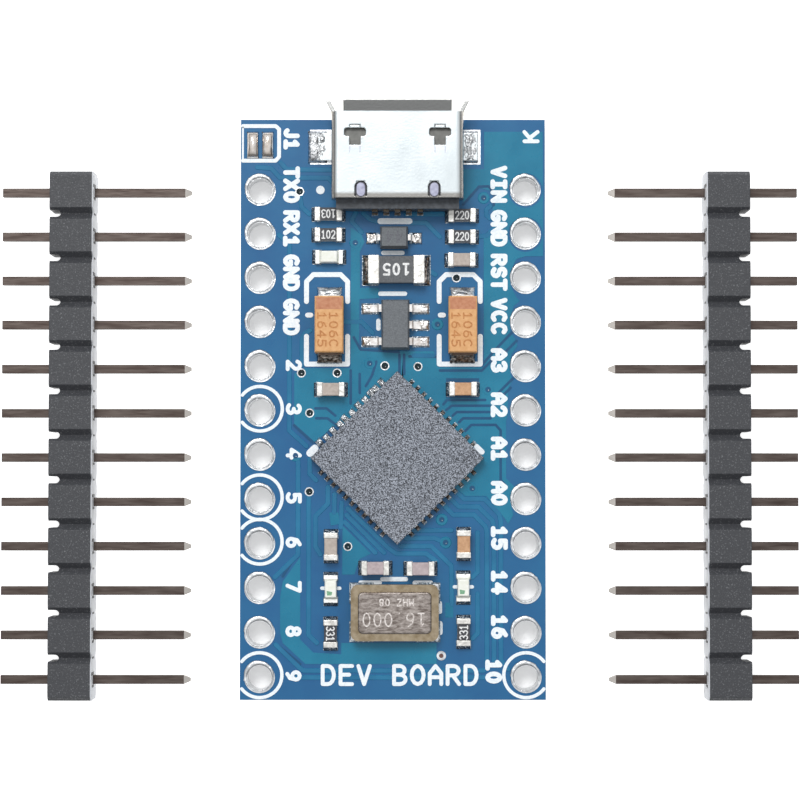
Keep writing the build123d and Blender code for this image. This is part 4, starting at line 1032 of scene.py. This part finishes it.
# North-west leads, toward the lamp, get bright tin blobs; the other three sides dark brown painted shade
for side in range(4):
    facing_angle = math.radians(45 + 90 * side)
    outward = np.array([math.cos(facing_angle), math.sin(facing_angle)])
    sideways = np.array([-outward[1], outward[0]])
    for lead in np.arange(-5, 6) * 0.5:
        if side == 1:
            out, along = 3.7 + lumps.normal(0, 0.04), lead + lumps.normal(0, 0.04)
            spot = mcu + outward * out + sideways * along
            blobs.append(solder_hill(*spot, 0.46, 0.38, 45 + 90 * side, 0.2, 0.6, flat=2))
        else:
            spot = mcu + outward * (3.64 + lumps.normal(0, 0.02)) + sideways * lead
            length = 0.18 if side == 0 else 0.26
            edge_hills.append(solder_hill(*spot, length, 0.25, 45 + 90 * side, 0.12, 0.5, flat=2))
piece("lead_joints", edge_hills, solder_painted_shade, smooth=True)
piece("lead_blobs", blobs, tin, smooth=True)
# The anchors stand behind the lip's run and their own distance from the front
LIP_RUN, ANCHOR_BACK = 0.62, 1.74
anchor_y = usb_high[1] - LIP_RUN - ANCHOR_BACK
anchors = ((-4.33, 1.1), (4.42, 0.95))
rough_hills = [solder_hill(x, anchor_y, width, 1.85, 0, 0.3, 0.3) for x, width in anchors]
drops = [solder_hill(x, 15.18, 0.68, 1.54, 0, 0.34, 0.05, flat=2) for x in (-8.06, -7.2)]
piece("anchor_solder", rough_hills, solder, smooth=True)
piece("link_drops", drops, drop, smooth=True)

# %% [markdown]
# ## The socket's springs and tabs
# Through the two windows in the roof one sees the latch springs, and at the rear two small tabs
# are pressed down through arches. They are flat, so plates and capsules will do: a darker one
# under each tab is a painted shade for the slit round it, and the springs are painted grey for
# the shade they lie in.

# %% Latch springs, arches and press lines
LATCH_X, ARCH_X = 2.41, 2.08
spring_shapes, tab_shapes, shadow_shapes, press_lines = [], [], [], []
for hand in (-1, 1):
    x = usb_x + hand * LATCH_X
    spring = [(x - 0.7, 14.7), (x + 0.7, 14.7), (x + 0.7, 16.0), (x - 0.7, 16.0)]
    spring_shapes.append(slab(spring, 3.7, 3.76))
    edges = np.array([[x - 0.29, 14.8], [x + 0.29, 14.8]])
    press_lines.append(capsules(edges, edges - (0, 0.35), 0.035, roof - 0.01, roof + 0.002))
    arch = [(usb_x + hand * ARCH_X, 12.2)], [(usb_x + hand * ARCH_X, 12.5)]
    shadow_shapes.append(capsules(*arch, 0.58, 4.0, 4.02))
    tab_shapes.append(capsules(*arch, 0.46, 4.0, 4.04))
# The dark outline round each tab is painted shade for the slit round it, a pressed tab is smooth
# and bluish, and a spring is painted mid grey: painted shade where it lies under the roof
shadow_steel, tree, shader, place = finish("slit_painted_shade", "#4b4b50", 0.5, 1.0)
tint(tree, shader, grain(tree, place, 0.1), 0.3, 0.7, "#3c3c41", "#63636a")
tab_steel, tree, shader, place = finish("pressed_nickel_tab", "#9c9db0", 0.3, 1.0)
tint(tree, shader, grain(tree, place, 0.25), 0.3, 0.7, "#8b8ca0", "#adaebf")
spring_in_shade, tree, shader, place = finish("latch_spring_painted_shade", "#62625f", 0.4, 1.0)
tint(tree, shader, grain(tree, place, 0.3), 0.3, 0.7, "#5a5a58", "#6b6b68")
piece("latch_springs", spring_shapes, spring_in_shade)
piece("arch_outlines", shadow_shapes, shadow_steel)
piece("arch_tabs", tab_shapes, tab_steel)
piece("press_lines", press_lines, tab_steel)

# %% [markdown]
# ## Crimp marks of the strips
# The tool that pressed the pins in left a few short notches on the inner face of each strip. They
# are drawn as small dark plates on that face: painted shade for the shade in the notches.

# %% Crimp marks
CRIMP_FOOT, CRIMP_DEPTH = 1.3, 0.03
# The notches are painted nearly black: painted shade in them, darker than the painted highlight of
# the face round them
notch_shade, tree, shader, place = finish("notch_painted_shade", "#27282b", 0.5)
tint(tree, shader, grain(tree, place, 0.1), 0.4, 0.7, "#1d1e20", "#55575b")
for side, face, outward in (("left", left_face, 1), ("right", right_face, -1)):
    low, high = span(f"{side}_header_housing")
    rows = (low[1] + high[1]) / 2 + (np.arange(PINS) - (PINS - 1) / 2) * pitch
    proud = face + outward * CRIMP_DEPTH
    crimps = []
    for y in rows:
        for gap, reach in ((0.36, 0.16), (-0.36, 0.12), (pitch / 2, 0.1)):
            near, far = y + gap - reach / 2, y + gap + reach / 2
            if far < high[1]:
                plate = [(face, near), (proud, near), (proud, far), (face, far)]
                crimps.append(slab(plate, CRIMP_FOOT, CRIMP_FOOT + 6 * reach))
    piece(f"{side}_crimp_marks", crimps, notch_shade, f"{side}_header_strip")

# %% [markdown]
# ## Tin collars of the pin holes
# Each pin hole is coated with hot tin, which a blast of air pushes to one side. So its collar is
# thin at the south and swollen at the north, and that swelling catches the light.


# %% Collars
BORE_RADIUS = 0.7
ring_top = left_high[2] - 0.002


def collar(x, y):
    """A ring round the hole: at each angle its profile is half an ellipse, h high, from the bore's
    edge to the outer radius 0.86 - 0.03 cos + 0.08 sin of that angle, which is a circle shifted to
    the north-west, and up to 0.06 more where the tin is swollen at 110 degrees."""
    around, across = 40, 9
    turn = np.linspace(0, 2 * np.pi, around, endpoint=False)[:, None]
    side = np.linspace(np.pi, 0, across)[None, :]
    ragged = lumps.normal(0, 0.012, (around, 1))
    inner = BORE_RADIUS + 0.02
    swollen = np.clip(np.cos(turn - math.radians(110)), 0, 1) ** 2
    outer = 0.86 - 0.03 * np.cos(turn) + 0.08 * np.sin(turn) + 0.06 * swollen + ragged
    radius = (inner + outer) / 2 + (outer - inner) / 2 * np.cos(side)
    height = (0.05 + 0.03 * np.clip(np.cos(turn - np.pi / 2), 0, 1)) * np.sin(side)
    height = height * (1 + lumps.normal(0, 0.15, (around, 1)))
    grid = np.stack([x + radius * np.cos(turn), y + radius * np.sin(turn), ring_top + height], axis=2)
    index = np.arange(around * across).reshape(around, across)
    after = np.roll(index, -1, 0)
    quads = np.stack([index[:, :-1], index[:, 1:], after[:, 1:], after[:, :-1]], axis=2).reshape(-1, 4)
    closing = np.stack([index[:, -1], index[:, 0], after[:, 0], after[:, -1]], axis=1)
    return grid.reshape(-1, 3), np.concatenate([quads, closing])[:, ::-1].tolist()


collars = [collar(x, y) for x in (left_x, right_x) for y in hole_y]
piece("tin_collars", collars, tin, smooth=True)

# %% [markdown]
# ## Codes on the parts
# Resistors carry their value in white paint, the fuse its rating, and the crystal a number cut by
# laser. All are plain numbers, drawn with the same pen.

# %% Painted codes
# Marking paint is a slightly worn white
code_white, tree, shader, place = finish("white_marking_paint", "#e6e6e4", 0.5)
tint(tree, shader, grain(tree, place, 0.08), 0.3, 0.6, "#c9c9c8", "#f4f4f3")
resistor_codes = {
    "reset_resistor": ("103", 180), "power_lamp_resistor": ("102", 0),
    "usb_resistor_upper": ("220", 0), "usb_resistor_lower": ("220", 0),
    "receive_lamp_resistor": ("331", -90), "transmit_lamp_resistor": ("331", 90),
}
marks = []
top = span("resistor_coats")[1][2]
for name, (code, turn) in resistor_codes.items():
    strokes = lettering(code, centre(name), turn, 0.2, 0.44, 0.28)
    marks.append(capsules(*runs(strokes), 0.07, top, top + 0.008))
fuse_top = span("fuse_body")[1][2]
strokes = lettering("105", centre("fuse_body"), 180, 0.34, 0.6, 0.55)
marks.append(capsules(*runs(strokes), 0.13, fuse_top, fuse_top + 0.01))
piece("painted_codes", marks, code_white)

# %% Burnt codes and polarity bands
# A laser browned the yellow resin, and the band is a printed reddish stripe
burnt, tree, shader, place = finish("laser_darkened_resin", "#b9763e", 0.6)
tint(tree, shader, grain(tree, place, 0.08), 0.3, 0.6, "#ad6a35", "#c98a50")
band_resin, tree, shader, place = finish("printed_polarity_band", "#d27f5e", 0.5)
tint(tree, shader, grain(tree, place, 0.2), 0.3, 0.7, "#b5714c", "#c98d69")
burnt_marks, bands = [], []
for name in ("tantalum_left_body", "tantalum_right_body"):
    low, high = span(name)
    x, y = centre(name)
    top = high[2]
    for column, code in ((0.27, "106C"), (-0.4, "1645")):
        strokes = lettering(code, (x + column, y - 0.3), -90, 0.36, 0.46, 0.52)
        burnt_marks.append(capsules(*runs(strokes), 0.09, top, top + 0.006))
    west, east, band_low, band_high = low[0] + 0.07, high[0] - 0.07, high[1] - 0.75, high[1] - 0.07
    band = [(west, band_low), (east, band_low), (east, band_high), (west, band_high)]
    bands.append(slab(band, top - 0.01, top + 0.004))
piece("burnt_codes", burnt_marks, burnt)
piece("polarity_bands", bands, band_resin)

# %% The crystal's and the diode's codes, and the lamps' cathode spots
# A laser cut bright lines into the dull lid
etched, tree, shader, place = finish("laser_bright_cut", "#d8cfc9", 0.3, 1.0)
tint(tree, shader, grain(tree, place, 0.1), 0.3, 0.65, "#a39790", "#efe8e3")
relief(tree, shader, grain(tree, place, 0.06), 0.01)
lid_top = span("crystal_lid")[1][2]
x, y = centre("crystal_lid")
strokes = lettering("16.000", (x - 0.05, y - 0.38), 180, 0.42, 0.74, 0.62)
strokes += lettering("MHZ 08", (x + 0.1, y + 0.6), 180, 0.22, 0.36, 0.34)
piece("lid_code", [capsules(*runs(strokes), 0.08, lid_top, lid_top + 0.004)], etched)

# Print on the diode has nearly worn off
faded, tree, shader, place = finish("faded_package_print", "#5a5c62", 0.6)
tint(tree, shader, grain(tree, place, 0.08), 0.3, 0.6, "#4d4f55", "#6b6d73")
diode_top = span("diode_body")[1][2]
strokes = lettering("44", centre("diode_body"), 180, 0.34, 0.62, 0.55)
piece("diode_code", [capsules(*runs(strokes), 0.1, diode_top, diode_top + 0.004)], faded)

# A dab of green ink marks the lamps' cathodes
green, tree, shader, place = finish("green_cathode_ink", "#7fae8c", 0.5)
tint(tree, shader, grain(tree, place, 0.1), 0.3, 0.7, "#8fb899", "#5f9a72")
spots = []
for name in ("receive_lamp_lens", "transmit_lamp_lens"):
    low, high = span(name)
    x, y = centre(name)
    spots.append(slab([(x - 0.2, low[1] + 0.16), (x + 0.05, low[1] + 0.16), (x + 0.1, low[1] + 0.36),
                       (x - 0.22, low[1] + 0.42)], high[2] - 0.01, high[2] + 0.004))
piece("cathode_spots", spots, green)

# %% [markdown]
# ## Floor and light
# The board lies on a white light table. The table glows a little, so the pin holes show pale, and
# a large soft lamp stands to the north, so that each part throws a short shadow to the south.

# %% Floor
# The table reaches this many metres to each side, and lies just under the prints of the underside
FLOOR, FLOOR_DROP = 0.6, 0.02
# Glow of the table under the board, dimmed there as a painted shadow of the board, and of the rest
# of it
SHADED_GLOW, OPEN_GLOW = 0.3, 0.8
floor_mesh = bpy.data.meshes.new("floor")
corners = [(-FLOOR, -FLOOR, 0.0), (FLOOR, -FLOOR, 0.0), (FLOOR, FLOOR, 0.0), (-FLOOR, FLOOR, 0.0)]
floor_mesh.from_pydata(corners, [], [(0, 1, 2, 3)])
table_top, tree, shader, place = finish("light_table", "#f4f4f4", 0.7)
reach = add(tree, "ShaderNodeSeparateXYZ", links={"Vector": place})
beyond = []
for axis, edge_at in (("X", board_high[0]), ("Y", board_high[1])):
    far = add(tree, "ShaderNodeMath", links={0: reach.outputs[axis]}, operation="ABSOLUTE")
    limit = {1: (edge_at - 0.3) * MM}
    beyond.append(add(tree, "ShaderNodeMath", limit, {0: far.outputs[0]}, operation="GREATER_THAN"))
links = {0: beyond[0].outputs[0], 1: beyond[1].outputs[0]}
open_table = add(tree, "ShaderNodeMath", links=links, operation="MAXIMUM")
values = {"To Min": SHADED_GLOW, "To Max": OPEN_GLOW}
glow = add(tree, "ShaderNodeMapRange", values, {"Value": open_table.outputs[0]})
shader.inputs["Emission Color"].default_value = (1.0, 1.0, 1.0, 1.0)
tree.links.new(glow.outputs["Result"], shader.inputs["Emission Strength"])
floor_mesh.materials.append(table_top)
floor = bpy.data.objects.new("floor", floor_mesh)
floor.location.z = -FLOOR_DROP * MM
bpy.context.scene.collection.objects.link(floor)
print("table", 2 * FLOOR, "m wide,", FLOOR_DROP, "mm below the board")

# %% North lamp
LAMP_PLACE = np.array([-40.0, 150.0, 270.0])
LAMP_SIZE = 110
LAMP_POWER = 0.4
lamp_data = bpy.data.lights.new("north_lamp", "AREA")
lamp_data.size = LAMP_SIZE * MM
lamp_data.energy = LAMP_POWER
lamp = bpy.data.objects.new("north_lamp", lamp_data)
bpy.context.scene.collection.objects.link(lamp)
lamp.location = LAMP_PLACE * MM
lamp.rotation_euler = Vector(-LAMP_PLACE).to_track_quat("-Z", "Y").to_euler()
print("lamp of", LAMP_POWER, "W at", LAMP_PLACE)

# %% [markdown]
# ## Sky
# Metal shows what is round it, so the sky is bright overhead and to the north, and grey at the
# horizon to the south. That gradient gives the solder and the pins their dark sides.

# %% Sky
world = bpy.data.worlds.new("studio")
bpy.context.scene.world = world
world.use_nodes = True
sky = world.node_tree
way = add(sky, "ShaderNodeSeparateXYZ", links={"Vector": add(sky, "ShaderNodeTexCoord").outputs["Generated"]})
toward_north = add(sky, "ShaderNodeMath", {1: 0.35}, {0: way.outputs["Y"]}, operation="MULTIPLY")
lift = add(sky, "ShaderNodeMath", links={0: way.outputs["Z"], 1: toward_north.outputs[0]}, operation="ADD")
shade = add(sky, "ShaderNodeValToRGB", links={"Fac": lift.outputs[0]})
shade.color_ramp.elements[0].position = 0.25
shade.color_ramp.elements[0].color = (0.2, 0.205, 0.21, 1.0)
shade.color_ramp.elements[1].position = 0.85
shade.color_ramp.elements[1].color = (1.0, 1.02, 1.04, 1.0)
background = sky.nodes["Background"]
sky.links.new(shade.outputs["Color"], background.inputs["Color"])
background.inputs["Strength"].default_value = 0.95
print("sky strength", round(background.inputs["Strength"].default_value, 2))
